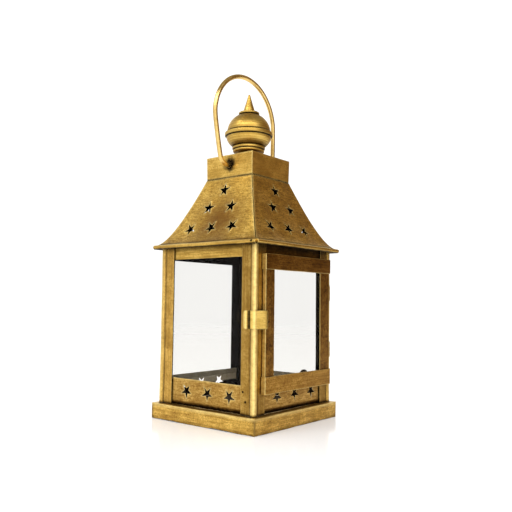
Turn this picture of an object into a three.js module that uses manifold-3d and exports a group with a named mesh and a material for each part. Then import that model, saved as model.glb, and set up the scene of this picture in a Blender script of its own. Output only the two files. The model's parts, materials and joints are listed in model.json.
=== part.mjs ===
// Square brass lantern with a concave tent roof, star cut-outs, four glass sides, a hinged glass door
// held by a spring clip, a ball finial and a swinging wire bail.
// Units are millimetres, +Z is up, the origin is on the floor under the middle of the plinth.
// The door is on the -Y side. Its hinges are on the +X edge and its clip is on the -X edge.

import * as THREE from 'three';
import { mergeVertices } from 'three/addons/utils/BufferGeometryUtils.js';
import Module from 'manifold-3d';

const wasm = await Module();
wasm.setup();

// ---------- Driving dimensions ----------

const GAP = 0.3;                 // clearance between soldered or nested pieces
const SHEET = 0.8;               // brass sheet thickness

const PLINTH_HALF = 62.5;
const PLINTH_HEIGHT = 14.4;
const PLINTH_LIP = 9;            // width of the flange turned in underneath

const BEAD_CENTRE = 55.5;        // corner bead's distance from the middle, along X and along Y
const BEAD_RADIUS = 3;
const FLANGE_FACE = 57;          // outer face of the corner posts' flanges
const FLANGE_THICKNESS = 0.9;
const FLANGE_EDGE = 42.2;        // distance from the middle of a side to the flange's free edge
const POST_TOP = 162.8;

const PANEL_FACE = FLANGE_FACE - FLANGE_THICKNESS - GAP;
const PANEL_HALF = 50;
const LOWER_PANEL_BOTTOM = 16.9;
const LOWER_PANEL_TOP = 39;
const UPPER_RAIL_BOTTOM = 148.8;
const LOWER_STAR_HEIGHT = 28;
const LOWER_STAR_SPACING = 26;
const LOWER_STAR_SHIFT = 2.6;    // the punching jig sits a little to one side
const STAR_RADIUS = 5.3;
const STAR_WAIST = 0.42;         // inner radius of a star as a share of its outer radius

const GLASS = 2;                 // pane thickness
const PANE_FACE = PANEL_FACE - SHEET - GAP;
const PANE_HALF = 49.5;
const PANE_BOTTOM = 34.5;
const PANE_TOP = 158;
const TAB_HEIGHT = 12;           // tabs that hold the fixed panes
const TAB_REACH = 4.4;
const TAB_THICKNESS = 0.7;
const TAB_LEVEL = 95;

const DOOR_LEFT = -48.3;
const DOOR_RIGHT = 52.3;
const DOOR_BOTTOM = 32.2;
const DOOR_TOP = 151.6;
const DOOR_FACE = 62;            // distance of the door rails' front face from the middle
const DOOR_BACK = 57.5;
const TOP_RAIL_WIDTH = 13.7;
const BOTTOM_RAIL_WIDTH = 14.8;
const LATCH_STILE_WIDTH = 12.3;
const HINGE_STILE_WIDTH = 14.9;
const DOOR_TAB_WIDTH = 8.5;
const DOOR_TAB_X = 14;
const DOOR_TAB_TOP = 49.6;
const STILE_FACE = DOOR_FACE - SHEET - GAP;
const STILE_LEFT = DOOR_LEFT + SHEET + GAP;
const STILE_RIGHT = DOOR_RIGHT - SHEET - GAP;
const DOOR_PANE_FACE = STILE_FACE - SHEET - GAP;
const DOOR_PANE_BACK = DOOR_PANE_FACE - GLASS;

const HINGE_X = 53.6;            // door hinge axis
const HINGE_Y = -59.6;
const KNUCKLE_RADIUS = 1.05;
const KNUCKLE_BORE = 0.75;
const PIN_RADIUS = 0.5;
const PIN_HEAD_RADIUS = 0.95;
const HINGE_HEIGHT = 14;
const HINGE_STRAP = 0.6;         // thickness of the straps that carry the knuckles
const STRAP_START = 1.25;        // the post's strap, measured from the hinge axis towards the corner
const STRAP_END = 2.1;
const DOOR_KNUCKLE = 4.6;        // height of the middle knuckle, which belongs to the door
const HINGE_LEVELS = { lower: 58, upper: 112 };

const CLIP_BOTTOM = 87.2;
const CLIP_TOP = 102.8;
const CLIP_THICKNESS = 0.7;
const CLIP_WRAP = 4;             // centreline radius of the clip round the corner bead
const CLIP_WRAP_START = 243;     // degrees
const CLIP_WRAP_END = 158;
const CLIP_FOOT = -44.8;         // end of the clip's foot on the latch stile
const CLIP_CREST = [-49.6, -63];

const ROOF_TOP_HALF = 28.4;
const ROOF_TOP_HEIGHT = 226.8;
const ROOF_EAVE_HALF = 62.6;
const ROOF_EAVE_HEIGHT = 162.6;
const ROOF_PULL_HALF = 52.6;     // control point that draws the roof line inwards
const ROOF_PULL_HEIGHT = 163.8;
const ROOF_SEGMENTS = 14;
const HEM_CENTRE = 63.2;
const HEM_HEIGHT = 160.7;
const HEM_RADIUS = 2;
const ROOF_STAR_ROWS = [
  { height: 214.2, places: [-0.5], turn: 0 },
  { height: 197, places: [-13, 14.3], turn: 0 },
  { height: 177.2, places: [-28.2, -1.7, 24], turn: Math.PI },
];
const PUNCH_DEPTH = 8;

const COLLAR_BOTTOM = 227.2;
const COLLAR_TOP = 248.8;
const COLLAR_BOTTOM_HALF = 28.4;
const COLLAR_TOP_HALF = 28.8;
const CAP_PLATE_TOP = 248.5;
const CAP_PLATE_THICKNESS = 0.9;

const BAIL_WIRE_RADIUS = 2.25;
const BAIL_PIVOT_HEIGHT = 239;
const BAIL_ARC_X = -5;           // the hand-bent loop leans a little to one side
const BAIL_ARC_HEIGHT = 286;
const BAIL_ARC_RADIUS = 43.8;
const BAIL_HOLE_RADIUS = 2.75;
const BAIL_END = 24.4;           // how near to the middle the wire's ends reach

const ROD_RADIUS = 2;
const ROD_BORE = 2.4;
const NUT_RADIUS = 4.6;
const NUT_BOTTOM = 243.9;
const NUT_TOP = 247.2;
const DOME_FOOT = 276.3;
const DOME_RADIUS = 21.3;
const DOME_RISE = 19.9;
const DOME_SHOULDER_RADIUS = 10.2;
const DOME_THICKNESS = 0.9;
const LATHE_SEGMENTS = 32;

// ---------- Materials ----------

function metal(name, color, roughness) {
  return new THREE.MeshStandardMaterial({ name, color, roughness, metalness: 1 });
}

const brassSheet = metal('antique_brass_sheet', 0xb08a3c, 0.42);
const brassCast = metal('antique_brass_spun', 0xc09a48, 0.34);
const brassWire = metal('antique_brass_wire', 0xc8a352, 0.3);
const brassDark = metal('dark_brass', 0x5b421d, 0.55);
const clearGlass = new THREE.MeshStandardMaterial({
  name: 'clear_glass', color: 0xf2f6f4, roughness: 0.05, metalness: 0, transparent: true, opacity: 0.25,
});

// ---------- Helpers ----------

const lantern = new THREE.Group();
lantern.name = 'moroccan_metal_lantern';

function add(name, geometry, material) {
  const mesh = new THREE.Mesh(geometry, material);
  mesh.name = name;
  lantern.add(mesh);
  return mesh;
}

function toSolid(geometry) {
  const bare = geometry.clone();
  bare.deleteAttribute('normal');
  bare.deleteAttribute('uv');
  const merged = mergeVertices(bare, 1e-4);
  return new wasm.Manifold(new wasm.Mesh({
    numProp: 3,
    vertProperties: new Float32Array(merged.attributes.position.array),
    triVerts: new Uint32Array(merged.index.array),
  }));
}

function toGeometry(solid) {
  const mesh = solid.getMesh();
  const geometry = new THREE.BufferGeometry();
  geometry.setAttribute('position', new THREE.BufferAttribute(mesh.vertProperties, 3));
  geometry.setIndex(new THREE.BufferAttribute(mesh.triVerts, 1));
  geometry.computeVertexNormals();
  return geometry;
}

function block(x0, x1, y0, y1, z0, z1) {
  const geometry = new THREE.BoxGeometry(x1 - x0, y1 - y0, z1 - z0);
  return geometry.translate((x0 + x1) / 2, (y0 + y1) / 2, (z0 + z1) / 2);
}

// A plan outline, as points [x, y], drawn up from z0 to z1.
function column(points, z0, z1) {
  const shape = new THREE.Shape(points.map(([x, y]) => new THREE.Vector2(x, y)));
  const geometry = new THREE.ExtrudeGeometry(shape, { depth: z1 - z0, bevelEnabled: false });
  return geometry.translate(0, 0, z0);
}

function rod(x, y, radius, z0, z1, sides) {
  const geometry = new THREE.CylinderGeometry(radius, radius, z1 - z0, sides);
  return geometry.rotateX(Math.PI / 2).translate(x, y, (z0 + z1) / 2);
}

// A profile of [radius, height] points turned round the Z axis.
function turned(profile, segments = LATHE_SEGMENTS, startAngle = 0) {
  const points = profile.map(([r, z]) => new THREE.Vector2(r, z));
  return new THREE.LatheGeometry(points, segments, startAngle).rotateX(Math.PI / 2);
}

function arc(cx, cy, radius, from, to, steps) {
  return Array.from({ length: steps + 1 }, (_, i) => {
    const angle = from + ((to - from) * i) / steps;
    return [cx + radius * Math.cos(angle), cy + radius * Math.sin(angle)];
  });
}

function starOutline(cx, cy, turn) {
  return Array.from({ length: 10 }, (_, i) => {
    const radius = i % 2 ? STAR_RADIUS * STAR_WAIST : STAR_RADIUS;
    const angle = Math.PI / 2 + turn + (i * Math.PI) / 5;
    return [cx + radius * Math.cos(angle), cy + radius * Math.sin(angle)];
  });
}

// The four sides in turn: how far each is turned from the -Y side, and its name.
const SIDES = [
  { name: 'front', turn: 0 },
  { name: 'right', turn: Math.PI / 2 },
  { name: 'back', turn: Math.PI },
  { name: 'left', turn: -Math.PI / 2 },
];

// ---------- Plinth ----------

function plinth() {
  const inner = PLINTH_HALF - SHEET;
  const mouth = PLINTH_HALF - PLINTH_LIP;
  const outside = toSolid(block(-PLINTH_HALF, PLINTH_HALF, -PLINTH_HALF, PLINTH_HALF, 0, PLINTH_HEIGHT));
  const hollow = toSolid(block(-inner, inner, -inner, inner, SHEET, PLINTH_HEIGHT - SHEET));
  const opening = toSolid(block(-mouth, mouth, -mouth, mouth, -1, SHEET + 1));
  return toGeometry(outside.subtract(hollow.add(opening)));
}

// ---------- Body: corner posts, star panels, rails and panes ----------

// Plan of the post in the +X, +Y corner: two flanges joined by a round bead.
function postOutline() {
  const back = FLANGE_FACE - FLANGE_THICKNESS;
  const outerReach = FLANGE_FACE - BEAD_CENTRE;
  const innerReach = back - BEAD_CENTRE;
  const outerAngle = Math.asin(outerReach / BEAD_RADIUS);
  const innerAngle = Math.asin(innerReach / BEAD_RADIUS);
  const outside = arc(BEAD_CENTRE, BEAD_CENTRE, BEAD_RADIUS, Math.PI - outerAngle, outerAngle - Math.PI / 2, 12);
  const inside = arc(BEAD_CENTRE, BEAD_CENTRE, BEAD_RADIUS, innerAngle - Math.PI / 2, -Math.PI - innerAngle, 4);
  return [
    [FLANGE_EDGE, FLANGE_FACE], ...outside, [FLANGE_FACE, FLANGE_EDGE],
    [back, FLANGE_EDGE], ...inside, [FLANGE_EDGE, back],
  ];
}

// The lower panel of the -Y side, drawn upright and then stood up: three stars, each with a point down.
function lowerPanel() {
  const outline = [
    [-PANEL_HALF, LOWER_PANEL_BOTTOM], [PANEL_HALF, LOWER_PANEL_BOTTOM],
    [PANEL_HALF, LOWER_PANEL_TOP], [-PANEL_HALF, LOWER_PANEL_TOP],
  ];
  const shape = new THREE.Shape(outline.map(([x, y]) => new THREE.Vector2(x, y)));
  for (const step of [-1, 0, 1]) {
    const place = LOWER_STAR_SHIFT + step * LOWER_STAR_SPACING;
    const star = starOutline(place, LOWER_STAR_HEIGHT, Math.PI).map(([x, y]) => new THREE.Vector2(x, y));
    shape.holes.push(new THREE.Path(star));
  }
  const geometry = new THREE.ExtrudeGeometry(shape, { depth: SHEET, bevelEnabled: false });
  return geometry.rotateX(Math.PI / 2).translate(0, SHEET - PANEL_FACE, 0);
}

function upperRail() {
  return block(-PANEL_HALF, PANEL_HALF, -PANEL_FACE, SHEET - PANEL_FACE, UPPER_RAIL_BOTTOM, POST_TOP);
}

function fixedPane() {
  return block(-PANE_HALF, PANE_HALF, -PANE_FACE, GLASS - PANE_FACE, PANE_BOTTOM, PANE_TOP);
}

// A bent tab behind the +X flange of the -Y side; the pane is trapped between the wall and its lip.
function paneTab() {
  const lipFront = -PANE_FACE + GLASS + GAP;
  const root = -FLANGE_FACE + FLANGE_THICKNESS + GAP;
  const outer = PANEL_HALF + GAP + TAB_THICKNESS;
  const inner = PANEL_HALF + GAP;
  const plan = [
    [inner, root], [outer, root], [outer, lipFront + TAB_THICKNESS],
    [outer - TAB_REACH, lipFront + TAB_THICKNESS], [outer - TAB_REACH, lipFront], [inner, lipFront],
  ];
  return column(plan, TAB_LEVEL - TAB_HEIGHT / 2, TAB_LEVEL + TAB_HEIGHT / 2);
}

// ---------- Door ----------

// A rail is a shallow tray: a face, one long return away from the glass and a return at each end.
function doorRail(bottom, top, openTop) {
  const tray = toSolid(block(DOOR_LEFT, DOOR_RIGHT, -DOOR_FACE, -DOOR_BACK, bottom, top));
  const low = openTop ? bottom + SHEET : bottom - 1;
  const high = openTop ? top + 1 : top - SHEET;
  const hollow = toSolid(block(DOOR_LEFT + SHEET, DOOR_RIGHT - SHEET, SHEET - DOOR_FACE, 1 - DOOR_BACK, low, high));
  return toGeometry(tray.subtract(hollow));
}

// A stile is an angle tucked inside the rails: a face and a return along its outer edge.
function doorStile(outer, inner) {
  const step = Math.sign(inner - outer) * SHEET;
  const front = -DOOR_FACE + SHEET + GAP;
  const plan = [
    [outer, front], [inner, front], [inner, front + SHEET],
    [outer + step, front + SHEET], [outer + step, -DOOR_BACK], [outer, -DOOR_BACK],
  ];
  const ordered = step > 0 ? plan : plan.reverse();
  return column(ordered, DOOR_BOTTOM + SHEET + GAP, DOOR_TOP - SHEET - GAP);
}

function doorPane() {
  const inset = SHEET + GAP;
  const bottom = DOOR_BOTTOM + BOTTOM_RAIL_WIDTH / 2;
  const top = DOOR_TOP - TOP_RAIL_WIDTH / 2;
  return block(STILE_LEFT + inset, STILE_RIGHT - inset, -DOOR_PANE_FACE, -DOOR_PANE_BACK, bottom, top);
}

// A round-topped tab that hooks under the door's pane and stands up behind it.
function doorTab() {
  const behind = GAP - DOOR_PANE_BACK;
  const paneBottom = DOOR_BOTTOM + BOTTOM_RAIL_WIDTH / 2;
  const radius = DOOR_TAB_WIDTH / 2;
  const foot = paneBottom - GAP - TAB_THICKNESS;
  const upright = [
    [-radius, foot], [radius, foot], ...arc(0, DOOR_TAB_TOP - radius, radius, 0, Math.PI, 8),
  ];
  const shape = new THREE.Shape(upright.map(([x, y]) => new THREE.Vector2(x, y)));
  const plate = new THREE.ExtrudeGeometry(shape, { depth: TAB_THICKNESS, bevelEnabled: false })
    .rotateX(Math.PI / 2).translate(0, behind + TAB_THICKNESS, 0);
  const hook = block(-radius, radius, SHEET + GAP - DOOR_FACE, behind + TAB_THICKNESS / 2, foot, foot + TAB_THICKNESS);
  return toGeometry(toSolid(plate).add(toSolid(hook))).translate(DOOR_TAB_X, 0, 0);
}

// Spring clip: a foot on the stile, a crest, a slanted plate and a wrap round the corner bead that
// ends in a flared thumb tip. It stays open behind the bead, so the door can swing away.
function latchClip() {
  const foot = -STILE_FACE - GAP - CLIP_THICKNESS / 2;
  const wrapStart = THREE.MathUtils.degToRad(CLIP_WRAP_START);
  const wrapEnd = THREE.MathUtils.degToRad(CLIP_WRAP_END);
  const line = [
    [CLIP_FOOT, foot], [CLIP_FOOT - 2.6, foot - 0.1], [CLIP_FOOT - 3.9, foot - 0.8], CLIP_CREST,
    ...arc(-BEAD_CENTRE, -BEAD_CENTRE, CLIP_WRAP, wrapStart, wrapEnd, 9), [-59.5, -52], [-60.9, -49.2],
  ].map(([x, y]) => new THREE.Vector2(x, y));
  const side = (offset) => line.map((point, i) => {
    const before = line[Math.max(i - 1, 0)];
    const after = line[Math.min(i + 1, line.length - 1)];
    const along = after.clone().sub(before).normalize();
    return [point.x - along.y * offset, point.y + along.x * offset];
  });
  const plan = [...side(CLIP_THICKNESS / 2), ...side(-CLIP_THICKNESS / 2).reverse()];
  return column(plan.reverse(), CLIP_BOTTOM, CLIP_TOP);
}

// ---------- Door hinges ----------

function knuckle(z0, z1) {
  return toSolid(rod(HINGE_X, HINGE_Y, KNUCKLE_RADIUS, z0, z1, 20));
}

function bore(z0, z1) {
  return toSolid(rod(HINGE_X, HINGE_Y, KNUCKLE_BORE, z0 - 1, z1 + 1, 20));
}

// The stretch of a hinge's height that its middle knuckle takes up.
function middleKnuckle(level) {
  const bottom = level + (HINGE_HEIGHT - DOOR_KNUCKLE) / 2;
  return [bottom, bottom + DOOR_KNUCKLE];
}

// Two end knuckles on a strap that is soldered along the front of the corner bead.
function hingePostLeaf(level) {
  const top = level + HINGE_HEIGHT;
  const [doorLow, doorHigh] = middleKnuckle(level);
  const back = -BEAD_CENTRE - BEAD_RADIUS - GAP;
  const front = back - HINGE_STRAP;
  let leaf = toSolid(block(HINGE_X + STRAP_START, HINGE_X + STRAP_END, front, back, level, top));
  for (const [z0, z1] of [[level, doorLow - GAP], [doorHigh + GAP, top]]) {
    const neck = toSolid(block(HINGE_X, HINGE_X + STRAP_END, front, back, z0, z1));
    leaf = leaf.add(knuckle(z0, z1)).add(neck);
  }
  return toGeometry(leaf.subtract(bore(level, top)));
}

// One middle knuckle on a plate that is soldered to the door stile's outer return.
function hingeDoorLeaf(level) {
  const [doorLow, doorHigh] = middleKnuckle(level);
  const plateLeft = STILE_RIGHT + GAP;
  const plate = toSolid(block(plateLeft, plateLeft + SHEET, -STILE_FACE, -DOOR_BACK, level, level + HINGE_HEIGHT));
  const neckBack = HINGE_Y + KNUCKLE_RADIUS;
  const neck = toSolid(
    block(plateLeft + SHEET / 2, HINGE_X, neckBack - HINGE_STRAP, neckBack, doorLow, doorHigh),
  );
  const leaf = plate.add(neck).add(knuckle(doorLow, doorHigh));
  return toGeometry(leaf.subtract(bore(doorLow, doorHigh)));
}

// A plain wire pin with a small domed head on top.
function hingePin(level) {
  const bottom = level - 0.8;
  const shoulder = level + HINGE_HEIGHT + GAP;
  return turned([
    [0, bottom], [PIN_RADIUS, bottom], [PIN_RADIUS, shoulder], [PIN_HEAD_RADIUS, shoulder],
    [0.85 * PIN_HEAD_RADIUS, shoulder + 0.6], [0.5 * PIN_HEAD_RADIUS, shoulder + 0.9], [0, shoulder + 1],
  ], 12).translate(HINGE_X, HINGE_Y, 0);
}

// ---------- Roof ----------

const ROOF_LINE = new THREE.QuadraticBezierCurve(
  new THREE.Vector2(ROOF_TOP_HALF, ROOF_TOP_HEIGHT),
  new THREE.Vector2(ROOF_PULL_HALF, ROOF_PULL_HEIGHT),
  new THREE.Vector2(ROOF_EAVE_HALF, ROOF_EAVE_HEIGHT),
);

// How far along the roof line a height is, from 0 at the collar to 1 at the eave.
function shareAtHeight(height) {
  let low = 0;
  let high = 1;
  for (let i = 0; i < 30; i += 1) {
    const middle = (low + high) / 2;
    if (ROOF_LINE.getPoint(middle).y > height) low = middle;
    else high = middle;
  }
  return low;
}

// A plan or section drawn along the whole eave of the -Y side: x is distance from the middle, y is height.
function drawnAlongEave(points, length) {
  const geometry = new THREE.ExtrudeGeometry(new THREE.Shape(points), { depth: length, bevelEnabled: false });
  return toSolid(geometry.translate(0, 0, -length / 2).rotateX(Math.PI / 2).rotateZ(-Math.PI / 2));
}

// One side of the roof: a sheet that sweeps out from collar to eave, its edge rolled into a hem,
// mitred at both hips and punched with six stars.
function roofPanel() {
  const steps = Array.from({ length: ROOF_SEGMENTS + 1 }, (_, i) => i / ROOF_SEGMENTS);
  const outer = steps.map((t) => ROOF_LINE.getPoint(t));
  const inner = steps.map((t) => {
    const along = ROOF_LINE.getTangent(t);
    return ROOF_LINE.getPoint(t).add(new THREE.Vector2(along.y, -along.x).multiplyScalar(SHEET));
  });
  inner[0].y = ROOF_TOP_HEIGHT;  // the sheet is cut level where it meets the collar
  const hem = arc(HEM_CENTRE, HEM_HEIGHT, HEM_RADIUS, 0, 2 * Math.PI, 12).slice(0, -1);
  const span = 2 * (HEM_CENTRE + HEM_RADIUS) + 10;
  const sheet = drawnAlongEave([...outer, ...inner.reverse()], span);
  const roll = drawnAlongEave(hem.map(([x, y]) => new THREE.Vector2(x, y)), span);
  const mitre = column([[span, -span - GAP], [-span, -span - GAP], [0, -GAP]], HEM_HEIGHT - 20, COLLAR_TOP);
  let panel = sheet.add(roll).intersect(toSolid(mitre));
  for (const row of ROOF_STAR_ROWS) {
    const share = shareAtHeight(row.height);
    const centre = ROOF_LINE.getPoint(share);
    const along = ROOF_LINE.getTangent(share);
    const slope = Math.atan2(-along.y, along.x);
    const star = new THREE.Shape(starOutline(0, 0, row.turn).map(([x, y]) => new THREE.Vector2(x, y)));
    for (const place of row.places) {
      const punch = new THREE.ExtrudeGeometry(star, { depth: PUNCH_DEPTH, bevelEnabled: false })
        .translate(0, 0, -PUNCH_DEPTH / 2).rotateX(slope).translate(place, -centre.x, centre.y);
      panel = panel.subtract(toSolid(punch));
    }
  }
  return toGeometry(panel);
}

// ---------- Collar and cap plate ----------

function alongX(radius, halfLength, z, sides) {
  return new THREE.CylinderGeometry(radius, radius, 2 * halfLength, sides)
    .rotateZ(Math.PI / 2).translate(0, 0, z);
}

// A slightly flared square tube with a hole through each X face for the bail.
function collar() {
  const corner = Math.SQRT2;
  const profile = [
    [COLLAR_BOTTOM_HALF * corner, COLLAR_BOTTOM], [COLLAR_TOP_HALF * corner, COLLAR_TOP],
    [(COLLAR_TOP_HALF - SHEET) * corner, COLLAR_TOP], [(COLLAR_BOTTOM_HALF - SHEET) * corner, COLLAR_BOTTOM],
    [COLLAR_BOTTOM_HALF * corner, COLLAR_BOTTOM],
  ];
  const tube = toSolid(turned(profile, 4, Math.PI / 4));
  return toGeometry(tube.subtract(toSolid(alongX(BAIL_HOLE_RADIUS, 40, BAIL_PIVOT_HEIGHT, 20))));
}

function capPlate() {
  const half = COLLAR_TOP_HALF - SHEET - GAP - 0.1;
  const bottom = CAP_PLATE_TOP - CAP_PLATE_THICKNESS;
  const plate = toSolid(block(-half, half, -half, half, bottom, CAP_PLATE_TOP));
  return toGeometry(plate.subtract(toSolid(rod(0, 0, ROD_BORE, CAP_PLATE_TOP - 3, CAP_PLATE_TOP + 3, 20))));
}

// ---------- Finial ----------

const FINIAL = {
  base_cup: [
    [ROD_BORE, 248.8], [9.6, 248.8], [8.8, 251.5], [9.4, 255.2], [13.8, 256.1], [15.1, 256.7], [15.5, 257.7],
    [15.1, 258.6], [15.9, 259.4], [16.2, 260.4], [15.8, 261.5], [14.6, 262], [ROD_BORE, 262], [ROD_BORE, 248.8],
  ],
  lower_bowl: [
    [ROD_BORE, 262.3], [15.4, 262.3], [17.8, 263.6], [19.8, 265.8], [21.4, 268.6], [22.2, 271.3],
    [21.3, 271.3], [20.5, 268.9], [19, 266.4], [17.2, 264.4], [15.1, 263.2], [ROD_BORE, 263.2], [ROD_BORE, 262.3],
  ],
  band: [
    [20.4, 271.6], [22.8, 271.6], [23.5, 272.4], [23.7, 273.8], [23.5, 275.2], [22.8, 276], [20.4, 276],
    [20.4, 271.6],
  ],
  neck_washer: [
    [ROD_BORE, 294.1], [9.6, 294.1], [9.2, 294.8], [7.6, 295.5], [6.6, 296.1], [6.2, 296.6], [ROD_BORE, 296.6],
    [ROD_BORE, 294.1],
  ],
  spike: [
    [0, 301.3], [ROD_BORE, 300.8], [ROD_BORE, 296.9], [5.2, 296.9], [5, 297.8], [2.9, 306], [0.95, 313.9],
    [0.5, 314.5], [0, 314.6],
  ],
  rod: [[0, 241.5], [ROD_RADIUS, 241.5], [ROD_RADIUS, 300.4], [0, 300.4]],
};

// The upper dome is a thin half-ellipsoid with a flat shoulder for the neck washer.
function upperDome() {
  const shoulderAngle = Math.acos(DOME_SHOULDER_RADIUS / DOME_RADIUS);
  const shell = (inset) => arc(0, 0, 1, 0, shoulderAngle, 9)
    .map(([x, y]) => [x * (DOME_RADIUS - inset), DOME_FOOT + y * (DOME_RISE - inset)]);
  const outside = shell(0);
  const inside = shell(DOME_THICKNESS);
  const shoulder = outside.at(-1)[1];
  return turned([
    ...outside, [ROD_BORE, shoulder], [ROD_BORE, shoulder - DOME_THICKNESS], ...inside.reverse(), outside[0],
  ]);
}

function hexNut() {
  const nut = toSolid(rod(0, 0, NUT_RADIUS, NUT_BOTTOM, NUT_TOP, 6));
  return toGeometry(nut.subtract(toSolid(rod(0, 0, ROD_BORE, NUT_BOTTOM - 1, NUT_TOP + 1, 20))));
}

// ---------- Bail ----------

// A round wire: straight ends through the collar, a bend at each side, near-straight legs and a round top.
function bail() {
  const foot = BAIL_PIVOT_HEIGHT;
  const leg = [[-BAIL_END, foot], [-30.4, foot], [-35.5, foot + 0.9], [-39.3, foot + 4], [-41.4, foot + 9]];
  const farLeg = [[38.4, foot + 13], [37.3, foot + 7], [34.6, foot + 2.2], [30.4, foot], [BAIL_END, foot]];
  const top = arc(BAIL_ARC_X, BAIL_ARC_HEIGHT, BAIL_ARC_RADIUS, Math.PI, 0, 12);
  const line = [...leg, [-45.6, foot + 28], ...top, ...farLeg];
  const path = new THREE.CatmullRomCurve3(line.map(([x, z]) => new THREE.Vector3(x, 0, z)), false, 'centripetal');
  const wire = new THREE.Shape(arc(0, 0, BAIL_WIRE_RADIUS, 0, 2 * Math.PI, 12)
    .slice(0, -1).map(([x, y]) => new THREE.Vector2(x, y)));
  return new THREE.ExtrudeGeometry(wire, { steps: 72, extrudePath: path, bevelEnabled: false });
}

// ---------- Assembly ----------

add('base_plinth', plinth(), brassSheet);

const CORNERS = ['rear_right', 'rear_left', 'front_left', 'front_right'];
CORNERS.forEach((corner, i) => {
  const post = add(`corner_post_${corner}`, column(postOutline(), PLINTH_HEIGHT + GAP, POST_TOP), brassSheet);
  post.rotation.z = (i * Math.PI) / 2;
});

for (const side of SIDES) {
  add(`lower_star_panel_${side.name}`, lowerPanel(), brassSheet).rotation.z = side.turn;
  add(`upper_rail_${side.name}`, upperRail(), brassSheet).rotation.z = side.turn;
  add(`roof_panel_${side.name}`, roofPanel(), brassSheet).rotation.z = side.turn;
  if (side.name === 'front') continue;
  add(`glass_pane_${side.name}`, fixedPane(), clearGlass).rotation.z = side.turn;
  add(`pane_tab_${side.name}_a`, paneTab(), brassDark).rotation.z = side.turn;
  const mirrored = toGeometry(toSolid(paneTab()).mirror([1, 0, 0]));
  add(`pane_tab_${side.name}_b`, mirrored, brassDark).rotation.z = side.turn;
}

add('door_top_rail', doorRail(DOOR_TOP - TOP_RAIL_WIDTH, DOOR_TOP, false), brassSheet);
add('door_bottom_rail', doorRail(DOOR_BOTTOM, DOOR_BOTTOM + BOTTOM_RAIL_WIDTH, true), brassSheet);
add('door_latch_stile', doorStile(STILE_LEFT, STILE_LEFT + LATCH_STILE_WIDTH), brassSheet);
add('door_hinge_stile', doorStile(STILE_RIGHT, STILE_RIGHT - HINGE_STILE_WIDTH), brassSheet);
add('door_glass', doorPane(), clearGlass);
add('door_glass_tab', doorTab(), brassDark);
add('latch_clip', latchClip(), brassWire);

for (const [name, level] of Object.entries(HINGE_LEVELS)) {
  add(`hinge_post_leaf_${name}`, hingePostLeaf(level), brassSheet);
  add(`hinge_door_leaf_${name}`, hingeDoorLeaf(level), brassSheet);
  add(`hinge_pin_${name}`, hingePin(level), brassWire);
}

add('collar', collar(), brassSheet);
add('collar_cap_plate', capPlate(), brassSheet);
for (const [name, profile] of Object.entries(FINIAL)) {
  add(`finial_${name}`, turned(profile, name === 'rod' ? 16 : LATHE_SEGMENTS), brassCast);
}
add('finial_upper_dome', upperDome(), brassCast);
add('finial_nut', hexNut(), brassDark);
add('bail_handle', bail(), brassWire);

export default lantern;
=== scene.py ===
"""Looks of the square brass lantern: detailed pieces, antique-brass and glass materials, studio and camera.

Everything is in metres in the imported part's frame. Lengths are written in millimetres times MM.
"""
import json
import math

import bmesh
import bpy
import numpy as np
from mathutils import Matrix, Vector, geometry, noise


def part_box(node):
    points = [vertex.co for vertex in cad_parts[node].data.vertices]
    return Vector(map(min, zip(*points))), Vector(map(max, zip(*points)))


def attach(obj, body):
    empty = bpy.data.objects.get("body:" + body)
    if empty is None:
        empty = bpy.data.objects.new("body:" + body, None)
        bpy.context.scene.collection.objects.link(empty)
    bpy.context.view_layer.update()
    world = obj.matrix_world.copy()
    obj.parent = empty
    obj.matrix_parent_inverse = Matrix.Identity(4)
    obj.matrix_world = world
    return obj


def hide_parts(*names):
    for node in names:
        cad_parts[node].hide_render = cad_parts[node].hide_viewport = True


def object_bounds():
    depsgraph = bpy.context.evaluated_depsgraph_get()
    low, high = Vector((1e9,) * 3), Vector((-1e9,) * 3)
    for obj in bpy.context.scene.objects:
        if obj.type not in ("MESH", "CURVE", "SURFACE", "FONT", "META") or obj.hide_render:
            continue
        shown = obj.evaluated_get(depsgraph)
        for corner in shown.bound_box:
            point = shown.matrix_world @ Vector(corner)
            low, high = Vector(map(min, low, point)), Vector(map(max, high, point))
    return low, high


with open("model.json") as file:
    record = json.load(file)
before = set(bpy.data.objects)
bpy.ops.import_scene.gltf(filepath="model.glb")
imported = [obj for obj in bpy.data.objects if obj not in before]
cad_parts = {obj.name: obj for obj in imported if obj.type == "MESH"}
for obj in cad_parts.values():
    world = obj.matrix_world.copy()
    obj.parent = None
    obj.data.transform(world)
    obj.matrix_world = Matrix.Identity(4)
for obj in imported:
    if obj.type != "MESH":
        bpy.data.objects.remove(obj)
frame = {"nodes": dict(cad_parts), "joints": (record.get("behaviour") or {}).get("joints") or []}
noise.seed_set(5)             # unseeded, noise_vector would differ from run to run
cad_box = [list(corner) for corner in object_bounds()]

MM = 0.001
BODY = "lantern_body"
SIDES = {"front": 0.0, "right": math.pi / 2, "back": math.pi, "left": -math.pi / 2}

# ---------- Sizes read from the frame ----------

PLINTH_LOW, PLINTH_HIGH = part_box("base_plinth")
POST_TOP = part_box("corner_post_front_right")[1].z
BEAD_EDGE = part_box("corner_post_front_right")[1].x
COLLAR_LOW, COLLAR_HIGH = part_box("collar")
EAVE_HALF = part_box("roof_panel_left")[0].x * -1
PIVOT_HEIGHT = next(j for j in frame["joints"] if j["name"] == "bail_swing")["pos_m"][2]

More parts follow.
